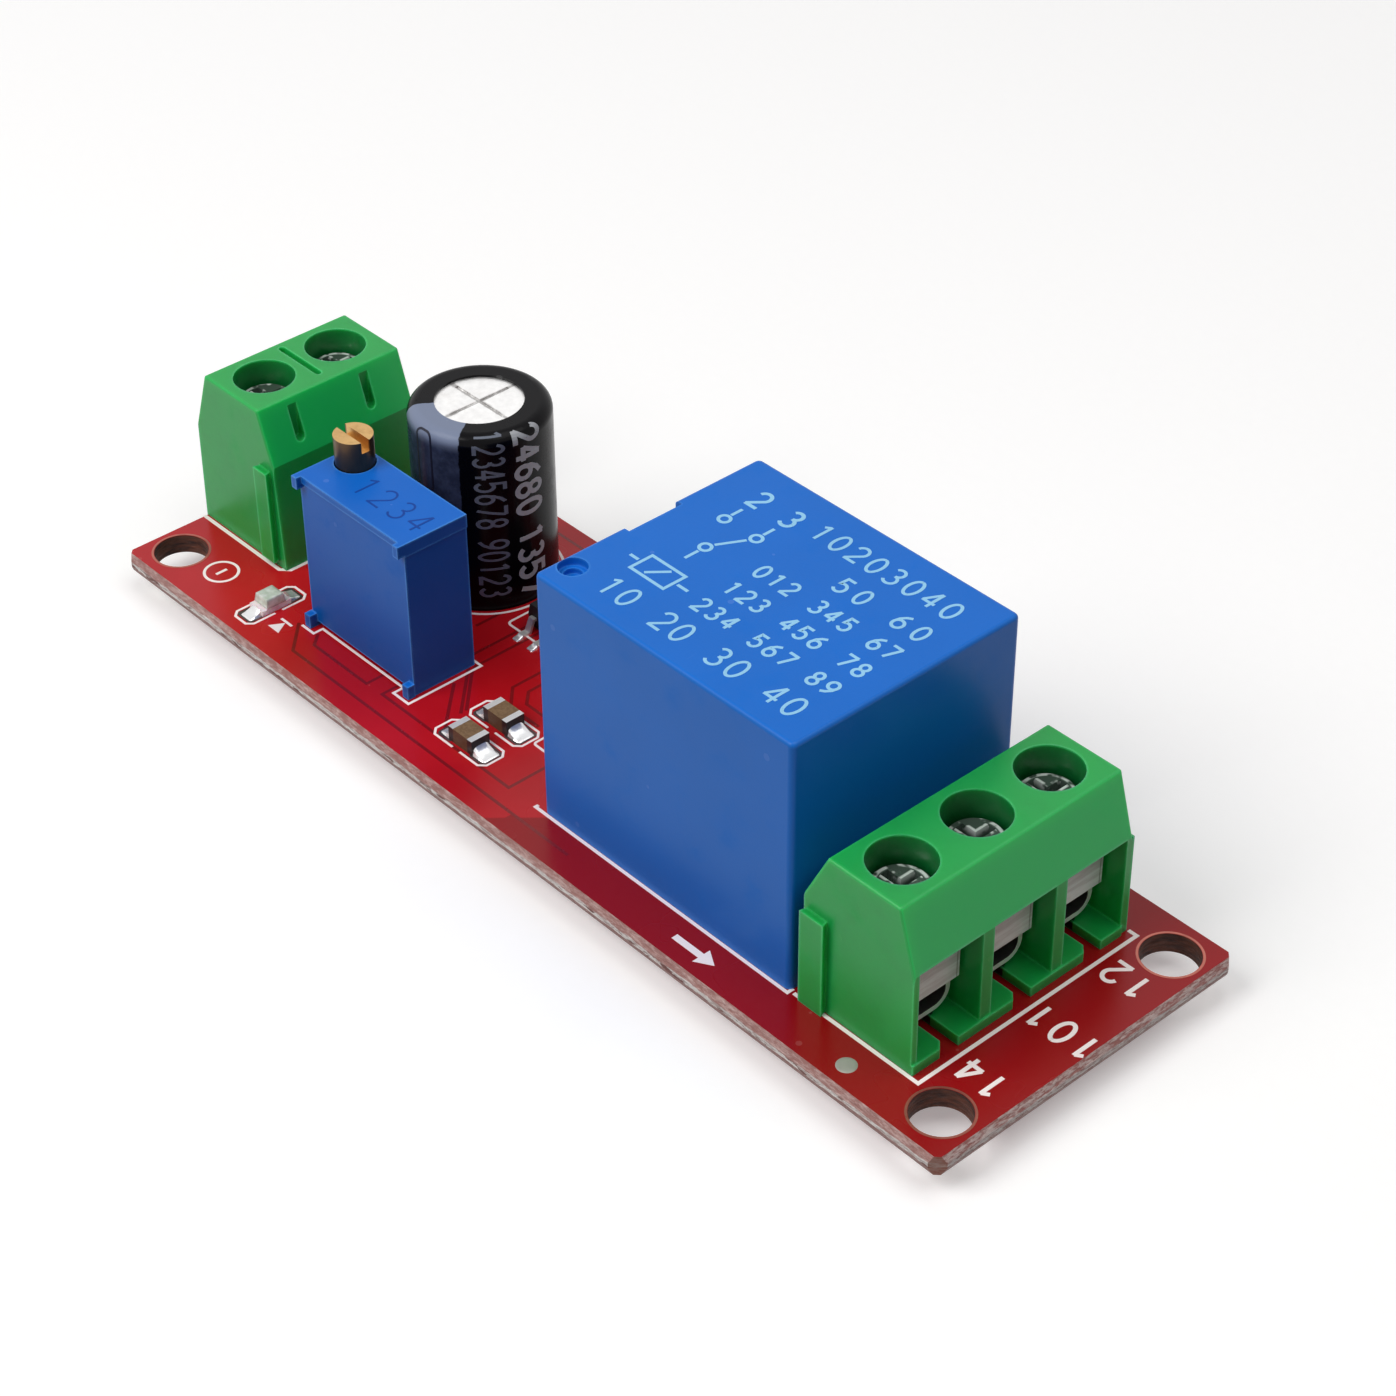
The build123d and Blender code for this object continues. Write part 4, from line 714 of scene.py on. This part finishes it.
# Plastics: roughness, specular, grain, depth of the grain, dust
GREEN = plastic("green_terminal_plastic", colour(20, 164, 74), 0.36, 0.4, 7000.0, 0.3, 0.1,
                shade=well_shade, soft=0.6, edge=colour(84, 226, 134))
RELAY_BLUE = plastic("blue_relay_plastic", colour(14, 107, 204), 0.33, 0.22, 8000.0, 0.25, 0.2,
                     shade=relay_shade, edge=colour(70, 150, 232))
TRIMMER_BLUE = plastic("blue_trimmer_plastic", colour(8, 102, 200), 0.36, 0.2, 8000.0, 0.25, 0.2,
                       shade=trimmer_shade, edge=colour(86, 160, 236))
SLEEVE = plastic("black_shrunk_film", colour(5, 4, 7), 0.22, 0.1, 2500.0, 0.2, 0.2, shade=sleeve_shade)
BLACK = plastic("black_moulding", colour(22, 22, 24), 0.5, 0.35, 6000.0, 0.4, 0.2)
RESIN = plastic("sealing_resin", colour(36, 30, 28), 0.4, 0.4, 3000.0, 0.3, 0.1)
BOBBIN = plastic("cream_bobbin_plastic", colour(222, 216, 200), 0.45, 0.35)
CERAMIC = plastic("fired_ceramic", colour(226, 222, 208), 0.6, 0.3, 9000.0, 0.5)
CAPACITOR_BROWN = plastic("brown_chip_ceramic", colour(112, 86, 60), 0.4, 0.4, 9000.0, 0.5, 0.5,
                          shade=chip_body_shade)
WHITE_LED = plastic("white_led_plastic", colour(244, 242, 232), 0.4, 0.4, soft=0.5)
BARE_LINES = plastic("masked_bare_lines", colour(128, 14, 20), 0.25, 0.4, 6000.0, 0.3, 0.1)
ENGRAVED = plastic("engraved_blue", colour(12, 66, 152), 0.5, 0.2)
LAMINATE = make_laminate()
SILK = ink("white_board_print", colour(255, 242, 240), 0.55)
RELAY_PRINT = ink("pale_blue_relay_print", colour(150, 206, 240), 0.5)
SLEEVE_PRINT = ink("grey_sleeve_print", colour(168, 170, 174))
DIM_PRINT = ink("dim_sleeve_print", colour(100, 106, 120))
STRIPE_PRINT = ink("dark_stripe_print", colour(24, 26, 44))

# Metals: their own colour, the colour of their stains, and roughness
ALONG_BOARD = (0.25, 1.0, 1.0)          # streaks drawn out along the board
ROUND_COIL = (0.05, 0.05, 8.0)          # thin level turns of wire
TIN = metal("bright_tin_plate", colour(232, 229, 226), colour(150, 140, 132), 0.3, ALONG_BOARD, wear=0.4,
            metallic=0.75)
GUARD_TIN = metal("tinned_wire_guard", colour(244, 254, 252), colour(176, 172, 166), 0.3, ALONG_BOARD,
                  wear=0.3, metallic=0.12, shade=guard_shade)
CHIP_TIN = metal("tinned_chip_end", colour(244, 242, 240), colour(190, 186, 180), 0.25, wear=0.3,
                 metallic=0.5, shade=chip_end_shade)
CLAMP_STEEL = metal("plated_clamp_steel", colour(250, 249, 248), colour(180, 176, 170), 0.25, wear=0.2,
                    metallic=0.3, shade=clamp_shade)
NICKEL = metal("nickel_plated_screw", colour(250, 252, 251), colour(120, 130, 124), 0.1, wear=0.3,
               metallic=0.5, shade=screw_shade)
SOLDER = metal("bright_solder", colour(236, 236, 236), colour(120, 112, 112), 0.16, depth=0.4, metallic=0.6)
IRON = metal("plated_iron", colour(170, 170, 168), colour(110, 108, 104), 0.3)
COPPER_WIRE = metal("wound_copper_wire", colour(190, 100, 58), colour(96, 44, 24), 0.3, ROUND_COIL, 1500.0, 0.8)
BRONZE = metal("spring_bronze", colour(214, 164, 104), colour(150, 100, 56), 0.25)
SILVER = metal("contact_silver_face", colour(230, 226, 218), colour(150, 140, 128), 0.25)
ALUMINIUM = metal("stamped_aluminium", colour(244, 243, 242), colour(206, 203, 200), 0.34, depth=0.6,
                  shade=vent_shade)
BRASS = metal("turned_brass", colour(212, 172, 114), colour(150, 108, 60), 0.26, depth=0.4, shade=brass_shade)
# Painted reflection: the tinned pads get a dark colour
PAD_RIM = metal("dark_pad_rim", colour(104, 84, 84), colour(60, 40, 42), 0.3, metallic=0.8)
PAD_METAL = metal("dull_test_pad", colour(170, 166, 158), colour(128, 124, 116), 0.45, metallic=0.25)
HOLE_RIM = metal("copper_hole_rim", colour(180, 108, 96), colour(116, 62, 54), 0.35)


def make_led_resin():
    """Clear cast resin over a pale chip: a clouded yellow-green tint and softly rounded edges."""
    material, n, shader = new_material("clear_led_resin")
    cloud = n.noise(n.place(), 1800.0, 3.0)
    tint = n.blend(n.ramp(cloud, 0.3, 0.7), colour(206, 216, 198), colour(252, 254, 248))
    n.feed(shader["Base Color"], tint)
    n.feed(shader["Roughness"], n.ramp(cloud, 0.2, 0.8, 0.05, 0.2))
    shader["Transmission Weight"].default_value = 0.2
    shader["Specular IOR Level"].default_value = 0.6
    rounded_off = n.add("ShaderNodeBevel", {"samples": 6}, Radius=0.25 * MM).outputs[0]
    bump(n, shader, cloud, 0.6, 0.04, rounded_off)
    return material


LED_RESIN = make_led_resin()

NODE_MATERIALS = {
    LAMINATE: ["circuit_board"],
    SOLDER: ["solder_joints"],
    GREEN: ["input_terminal_housing", "output_terminal_housing"],
    TIN: ["relay_coil_pins", "relay_common_terminal", "relay_open_contact", "relay_closed_contact",
          "trimmer_pins", "capacitor_leads", "chip_resistor_ends", "timer_chip_leads", "transistor_leads",
          "diode_leads"],
    GUARD_TIN: ["input_terminal_contacts", "output_terminal_contacts"],
    CHIP_TIN: ["chip_capacitor_ends"],
    CLAMP_STEEL: ["output_clamp_1", "output_clamp_2", "output_clamp_3", "input_clamp_1", "input_clamp_2"],
    NICKEL: ["output_screw_1", "output_screw_2", "output_screw_3", "input_screw_1", "input_screw_2"],
    RELAY_BLUE: ["relay_cover"],
    BLACK: ["relay_base", "timer_chip_body", "transistor_body", "diode_body", "chip_resistor_bodies"],
    RESIN: ["relay_potting", "trimmer_potting"],
    IRON: ["relay_yoke", "relay_core", "relay_armature"],
    BOBBIN: ["relay_bobbin", "trimmer_rotor"],
    COPPER_WIRE: ["relay_coil"],
    BRONZE: ["relay_contact_spring", "trimmer_wiper"],
    SILVER: ["relay_moving_contact"],
    TRIMMER_BLUE: ["trimmer_housing"],
    CERAMIC: ["trimmer_element"],
    BRASS: ["trimmer_screw"],
    ALUMINIUM: ["capacitor_can"],
    SLEEVE: ["capacitor_sleeve"],
    WHITE_LED: ["led_base"],
    LED_RESIN: ["led_lens"],
    CAPACITOR_BROWN: ["chip_capacitor_bodies"],
}
for material, names in NODE_MATERIALS.items():
    for name in names:
        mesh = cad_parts[name].data
        mesh.materials.clear()
        mesh.materials.append(material)


# Print on the board

ON_TOP = flat_on(-BOARD_X, -BOARD_Y, BOARD_TOP)
PRINT_LOW, PRINT_HIGH, THIN_HIGH = -0.01, 0.015, 0.012


def board_line(shape, points, width=0.2, closed=False):
    """A ribbon of print, placed from the board's corner."""
    return ribbon(shape, points, width, PRINT_LOW, PRINT_HIGH, ON_TOP, closed)


def make_board_print():
    """White outlines of the parts, as ribbons along their broken lines, and plain marks."""
    shape = Shape()
    board_line(shape, [(54.1, 3.0), (62.66, 3.06), (62.66, 18.61), (62.1, 18.61)], 0.22)
    board_line(shape, [(34.45, 3.0), (34.45, 2.8), (53.85, 2.8), (53.85, 3.2)], 0.2)
    board_line(shape, [(0.15, 5.62), (7.7, 5.62), (8.2, 6.1), (8.2, 16.3), (0.15, 16.3)], 0.24)
    board_line(shape, [(13.0, 3.35), (14.1, 3.35), (14.1, 4.0), (21.55, 4.0), (21.55, 3.3), (22.9, 3.3),
                       (22.9, 8.45), (22.2, 8.45)], 0.16)
    board_line(shape, circle(BOARD_X + CAPACITOR[0], BOARD_Y + CAPACITOR[1], 4.4, 97), 0.16, closed=True)
    for side in (-1, 1):
        half = np.array([(0.3, 0.9), (1.85, 0.9), (2.2, 0.55), (2.2, -0.55), (1.85, -0.9), (0.3, -0.9)])
        for _, y in CHIP_CAPACITORS:
            board_line(shape, half * (side, 1) + (27.8, y), 0.14)
        half = np.array([(0.82, 0.25), (0.82, 1.75), (0.5, 2.1), (-0.5, 2.1), (-0.82, 1.75), (-0.82, 0.25)])
        board_line(shape, half * (1, side) + LED, 0.15)
    board_line(shape, rounded(*TIMER_CHIP, 6.9, 5.4, 0.3), 0.15, closed=True)
    board_line(shape, rounded(*TRANSISTOR, 3.4, 3.2, 0.2), 0.15, closed=True)
    board_line(shape, rounded(*DIODE, 2.3, 5.2, 0.2), 0.15, closed=True)
    for x, y in CHIP_RESISTORS:
        board_line(shape, rounded(x, y, 3.3, 1.75, 0.3), 0.14, closed=True)

    # Plain numbers at the output poles, read from the board's far end
    poles = (("14", 64.45, 5.55, 0.88), ("101", 64.9, 10.75, 0.9), ("12", 64.5, 15.8, 0.88))
    for text, x, y, spacing in poles:
        place = flat_on(x - BOARD_X, y - BOARD_Y, BOARD_TOP, 180)
        write(shape, text, 0, 0, 1.68, 0.24, PRINT_LOW, PRINT_HIGH, place, spacing)

    # Minus and plus in rings at the input poles
    for text, y in (("-", 3.0), ("+", 18.6)):
        place = flat_on(5.6 - BOARD_X, y - BOARD_Y, BOARD_TOP, -90)
        ribbon(shape, circle(0, 0, 1.0, 49), 0.17, PRINT_LOW, PRINT_HIGH, place, closed=True)
        write(shape, text, 0, 0, 1.5, 0.19, PRINT_LOW, PRINT_HIGH, place)

    # A plain arrow on the near edge, and a bar and triangle beside the light-emitting diode
    arrow = [(47.0, 1.25), (49.0, 1.25), (49.0, 0.85), (50.0, 1.45), (49.0, 2.05), (49.0, 1.65), (47.0, 1.65)]
    plate(shape, arrow, PRINT_LOW, PRINT_HIGH, ON_TOP)
    plate(shape, [(11.7, 1.9), (12.7, 1.9), (12.2, 2.75)], PRINT_LOW, PRINT_HIGH, ON_TOP)
    board_line(shape, [(11.7, 2.85), (12.7, 2.85)], 0.16)
    return shape.piece("board_print", SILK, slot="board_laminate", smooth=False)


def make_track_gaps():
    """The bare lines between the copper areas, as thin ribbons laid in the mask's surface."""
    shape = Shape()
    for path in TOP_GAPS:
        ribbon(shape, path, 0.2, -0.01, 0.002, ON_TOP)
    for path in UNDER_GAPS:
        ribbon(shape, path, 0.2, -0.002, 0.01, flat_on(-BOARD_X, -BOARD_Y, BOARD_UNDER))
    return shape.piece("track_gaps", BARE_LINES, slot="board_laminate", smooth=False)


def make_hole_rims():
    """Plated rims: a narrow ring round each mounting hole, above and below."""
    shape = Shape()
    for x, y in MOUNT_HOLES:
        for z, low, high in ((BOARD_TOP, -0.01, 0.012), (BOARD_UNDER, -0.012, 0.01)):
            ribbon(shape, circle(0, 0, 1.68, 73), 0.13, low, high, flat_on(x, y, z), closed=True)
    return shape.piece("mounting_hole_rims", HOLE_RIM, slot="solder", smooth=False)


def make_test_pad():
    """A dull round pad: the profile of a low dome, turned about its middle."""
    shape = Shape()
    profile = np.array([(0.0, -0.012), (0.57, -0.01), (0.52, 0.012), (0.35, 0.028), (0.0, 0.03)])
    turned_profile(shape, profile + (0, BOARD_TOP), TEST_PAD[0] - BOARD_X, TEST_PAD[1] - BOARD_Y)
    return shape.piece("round_test_pad", PAD_METAL, slot="solder")


# Solder on the small parts

def fillet_of_solder(shape, x, y, turn, length, width, height):
    """A wetted fillet: it climbs a part's end as (1 - s) to the power 2.2 and rounds off towards its sides.

    s runs from the part's end to the pad's far end, t across. The height is the climb times
    the square root of 1 - t^4, over a thin film whose edge falls to the board as an ellipse.
    """
    s, t = np.meshgrid(np.linspace(0, 1, 15), np.linspace(-1, 1, 15), indexing="ij")
    film = 0.07 * np.sqrt(np.clip(1 - t ** 6, 0, 1)) * np.sqrt(np.clip(1 - s ** 8, 0, 1))
    climb = height * (1 - s) ** 2.2 * np.sqrt(np.clip(1 - t ** 4, 0, 1))
    along, across = s * length, t * width / 2 * (1 - 0.12 * s ** 6)
    top = np.stack([along, across, film + climb], -1)
    under = np.stack([along, across, np.full_like(s, -0.01)], -1)
    place = flat_on(x - BOARD_X, y - BOARD_Y, BOARD_TOP, turn)
    grid = band_faces(*s.shape)
    index = np.arange(s.size).reshape(s.shape)
    rim = np.concatenate([index[0], index[1:, -1], index[-1, -2::-1], index[-2:0:-1, 0]])
    wall = np.stack([rim, rim + s.size, np.roll(rim, -1) + s.size, np.roll(rim, -1)], -1)
    return shape.add(place(np.stack([top, under])), np.concatenate([grid, grid[:, ::-1] + s.size, wall]))


def make_pads():
    """Tinned pads that show round the solder of the chip parts, painted dark as a dark reflection."""
    shape = Shape()
    for x, y in CHIP_CAPACITORS:
        plate(shape, rounded(x + 1.4, y, 1.3, 1.5, 0.25), PRINT_LOW, THIN_HIGH, ON_TOP)
        plate(shape, rounded(x - 1.35, y, 1.2, 1.5, 0.25), PRINT_LOW, THIN_HIGH, ON_TOP)
    for side in (-1, 1):
        plate(shape, rounded(LED[0], LED[1] + side * 1.35, 1.35, 1.15, 0.25), PRINT_LOW, THIN_HIGH, ON_TOP)
    return shape.piece("chip_pads", PAD_RIM, slot="solder", smooth=False)


def make_chip_solder():
    """Solder at both ends of each chip part, and at the gull-wing leads' feet."""
    shape = Shape()
    for x, y in CHIP_CAPACITORS:
        fillet_of_solder(shape, x + 1.0, y, 0, 0.95, 1.2, 0.42)
        fillet_of_solder(shape, x - 1.0, y, 180, 0.85, 1.2, 0.42)
    for x, y in CHIP_RESISTORS:
        fillet_of_solder(shape, x + 1.0, y, 0, 0.5, 1.2, 0.3)
        fillet_of_solder(shape, x - 1.0, y, 180, 0.5, 1.2, 0.3)
    for (x, y), along, across, turn in ((DIODE, 0, 2.2, 90), (DIODE, 0, -2.2, -90), (TRANSISTOR, 0, 1.2, 90),
                                        (TRANSISTOR, -0.95, -1.2, -90), (TRANSISTOR, 0.95, -1.2, -90)):
        fillet_of_solder(shape, x + along, y + across, turn, 0.4, 0.55, 0.14)
    for side, turn in ((1, 90), (-1, -90)):
        fillet_of_solder(shape, LED[0] + 0.03, LED[1] + side * 1.0, turn, 0.8, 1.0, 0.3)
        for number in range(4):
            x = TIMER_CHIP[0] + (number - 1.5) * 1.27
            fillet_of_solder(shape, x, TIMER_CHIP[1] + side * 3.0, turn, 0.45, 0.5, 0.14)
    return shape.piece("chip_solder", SOLDER, slot="solder")


# Print on the parts

def make_relay_print():
    """Print on the relay's top: rows of plain counting numbers, and a plain diagram of a changeover contact."""
    shape = Shape()
    place = flat_on(*RELAY_MIDDLE, RELAY_TOP)

    def line(points, closed=False):
        ribbon(shape, points, 0.19, PRINT_LOW, THIN_HIGH, place, closed)

    # Each row of numbers, its left and right ends, its middle and its height
    rows = (("10203040", -2.6, 7.4, 5.32, 1.43), ("50 60", 1.5, 7.65, 2.9, 1.26),
            ("012 345 67", -2.05, 7.7, 0.76, 1.12), ("123 456 78", -2.05, 7.75, -1.29, 1.12),
            ("234 567 89", -2.05, 7.75, -3.34, 1.12), ("10 20 30 40", -6.4, 7.75, -5.6, 1.52))
    for text, left, right, middle, height in rows:
        spacing = ((right - left) / height - DIGIT_WIDTH) / (len(text) - 1)
        write(shape, text, (left + right) / 2, middle, height, 0.18, PRINT_LOW, THIN_HIGH, place, spacing)

    # Two fixed contacts with their numbers, the lever from its pivot to the right one, and the coil below
    for x, number in ((-6.45, "2"), (-4.05, "3")):
        line(circle(x, 2.5, 0.32, 25), closed=True)
        line([(x, 2.98), (x, 3.75)])
        write(shape, number, x, 5.0, 1.5, 0.22, PRINT_LOW, THIN_HIGH, place)
    line(circle(-5.25, 0.1, 0.32, 25), closed=True)
    line([(-5.08, 0.57), (-4.28, 2.04)])
    line([(-5.25, -0.38), (-5.25, -1.3)])
    line([(-6.5, -3.85), (-4.0, -3.85), (-4.0, -2.35), (-6.5, -2.35)], closed=True)
    line([(-5.7, -3.62), (-4.8, -2.58)])
    line([(-7.35, -3.1), (-6.72, -3.1)])
    line([(-3.78, -3.1), (-3.0, -3.1)])
    return shape.piece("relay_top_print", RELAY_PRINT, slot="relay_plastic", smooth=False)


def make_trimmer_marks():
    """Engraved plain numbers along the trimmer's top."""
    shape = Shape()
    place = flat_on(TRIMMER_MIDDLE[0] - BOARD_X, TRIMMER_MIDDLE[1] - BOARD_Y, TRIMMER_TOP)
    for number, along in (("1", -1.08), ("2", 0.5), ("3", 2.1), ("4", 3.63)):
        write(shape, number, along, 0.0, 1.75, 0.13, -0.01, 0.006, place)
    return shape.piece("trimmer_top_marks", ENGRAVED, slot="trimmer_plastic", smooth=False)


FILM_LOW, FILM_HIGH = -0.02, 0.008


def down_sleeve(shape, words, angle, squeeze, stroke, spacing):
    """Digits that read down the sleeve, each group about a height: u runs down, v round, u times the squeeze."""
    for text, z in words:
        turned = wrapped_on(angle, BOARD_TOP + z)
        write(shape, text, 0, 0, 1.75, stroke, FILM_LOW, FILM_HIGH,
              lambda p: turned(np.stack([p[..., 1], -p[..., 0] * squeeze, p[..., 2]], -1)), spacing)


def make_sleeve_print():
    """Print round the sleeve: outlines of minus signs on the stripe, and two columns of digits beside it."""
    signs, thin, bold = Shape(), Shape(), Shape()
    for z in (4.6, 9.55):
        ribbon(signs, dense(rounded(0, 0, 1.15, 3.9, 0.4)), 0.14, FILM_LOW, FILM_HIGH,
               wrapped_on(-88.8, BOARD_TOP + z), closed=True)
    signs.piece("sleeve_polarity_marks", STRIPE_PRINT, slot="capacitor_film", smooth=False)
    down_sleeve(thin, (("12345678", 8.9), ("90123", 2.95)), -32.3, 0.6, 0.24, 0.78)
    thin.piece("sleeve_rating_print", DIM_PRINT, slot="capacitor_film", smooth=False)
    down_sleeve(bold, (("24680", 8.95), ("1357", 2.8)), 1.0, 0.9, 0.32, 0.76)
    bold.piece("sleeve_bold_print", SLEEVE_PRINT, slot="capacitor_film", smooth=False)


for make_piece in (make_board_print, make_track_gaps, make_hole_rims, make_test_pad, make_pads,
                   make_chip_solder, make_relay_print, make_trimmer_marks, make_sleeve_print):
    make_piece()


# Floor, light and camera

def seen_mix(n, hidden, shown):
    """Blends two shaders: shown for rays from the camera, in gloss and through glass, hidden for the rest."""
    path = n.add("ShaderNodeLightPath").outputs
    clear = n.most(path["Is Glossy Ray"], path["Is Transmission Ray"])
    mixed = n.add("ShaderNodeMixShader", Fac=n.most(path["Is Camera Ray"], clear))
    n.feed(mixed.inputs[1], hidden)
    n.feed(mixed.inputs[2], shown)
    return mixed.outputs[0]


def make_floor():
    """A wide pale table: seen as white with the part's shadow on it, and grey to the light that bounces."""
    half = 2.0          # metres
    mesh = bpy.data.meshes.new("pale_floor")
    corners = [(-half, -half, 0), (half, -half, 0), (half, half, 0), (-half, half, 0)]
    mesh.from_pydata(corners, [], [(0, 1, 2, 3)])
    floor = bpy.data.objects.new("pale_floor", mesh)
    bpy.context.scene.collection.objects.link(floor)
    material, n, shader = new_material("pale_paper")
    speckle = n.noise(n.place(), 1500.0, 3.0)
    n.feed(shader["Base Color"], n.blend(speckle, (0.78, 0.77, 0.765, 1), (0.82, 0.81, 0.805, 1)))
    shader["Roughness"].default_value = 0.35
    shader["Specular IOR Level"].default_value = 0.15
    glow = n.add("ShaderNodeEmission", Color=(1, 1, 1, 1), Strength=0.3).outputs[0]
    lit = n.add("ShaderNodeAddShader")
    n.feed(lit.inputs[0], n.tree.nodes["Principled BSDF"].outputs[0])
    n.feed(lit.inputs[1], glow)
    grey = n.add("ShaderNodeBsdfDiffuse", Color=(0.3, 0.3, 0.3, 1)).outputs[0]
    n.feed(n.tree.nodes["Material Output"].inputs[0], seen_mix(n, grey, lit.outputs[0]))
    mesh.materials.append(material)


def make_world():
    """A white studio to the eye that gives the part only a little light."""
    world = bpy.data.worlds.new("studio")
    bpy.context.scene.world = world
    world.use_nodes = True
    n = Nodes(world.node_tree)
    soft = n.add("ShaderNodeBackground", Color=(1, 1, 1, 1), Strength=0.15).outputs[0]
    white = n.add("ShaderNodeBackground", Color=(1, 1, 1, 1), Strength=1.0).outputs[0]
    n.feed(n.tree.nodes["World Output"].inputs[0], seen_mix(n, soft, white))


def add_lamp(name, direction, distance, size, power):
    """A square soft lamp that looks at the part from a direction, its sizes in metres."""
    lamp = bpy.data.lights.new(name, "AREA")
    lamp.size = size
    lamp.energy = power
    made = bpy.data.objects.new(name, lamp)
    bpy.context.scene.collection.objects.link(made)
    direction = Vector(direction).normalized()
    made.location = direction * distance + Vector((0, 0, 0.008))
    made.rotation_euler = direction.to_track_quat("Z", "Y").to_euler()


PHOTO_SIZE = 1396                           # pixels
PICTURE_MIDDLE = (697.383, 646.828)         # where the camera's axis meets the photograph
FOCAL_LENGTH = 3219.53                      # in the photograph's pixels
CAMERA_PLACE = (138.066, -78.137, 108.754)  # millimetres from the board's corner, at its top
CAMERA_TURNS = (48.247, 36.832, -0.451)     # degrees round the part, down to it, and of roll
SENSOR = 36.0


def make_camera():
    """The photograph's view: a pinhole camera solved from it."""
    azimuth, height, roll = np.radians(CAMERA_TURNS)
    forward = np.array([-np.sin(azimuth) * np.cos(height), np.cos(azimuth) * np.cos(height), -np.sin(height)])
    right = np.array([np.cos(azimuth), np.sin(azimuth), 0.0])
    upward = np.cross(right, forward)
    rolled_right = right * np.cos(roll) + upward * np.sin(roll)
    rolled_up = -right * np.sin(roll) + upward * np.cos(roll)
    place = (np.array(CAMERA_PLACE) + (-BOARD_X, -BOARD_Y, BOARD_TOP)) * MM
    camera = bpy.data.cameras.new("camera")
    camera.sensor_width = SENSOR
    camera.lens = FOCAL_LENGTH / PHOTO_SIZE * SENSOR
    camera.shift_x = (PHOTO_SIZE / 2 - PICTURE_MIDDLE[0]) / PHOTO_SIZE
    camera.shift_y = (PICTURE_MIDDLE[1] - PHOTO_SIZE / 2) / PHOTO_SIZE
    camera.clip_start = 0.005
    made = bpy.data.objects.new("camera", camera)
    bpy.context.scene.collection.objects.link(made)
    rows = [[*axis, origin] for axis, origin in zip(np.stack([rolled_right, rolled_up, -forward], 1), place)]
    made.matrix_world = Matrix(rows + [[0, 0, 0, 1]])
    bpy.context.scene.camera = made


make_floor()
make_world()
add_lamp("front_softbox", (-0.3, -0.85, 1.0), 0.42, 0.26, 1.2)
add_lamp("top_softbox", (0.3, 0.15, 1.0), 0.42, 0.34, 0.7)
make_camera()
bpy.context.scene.view_settings.view_transform = "Standard"
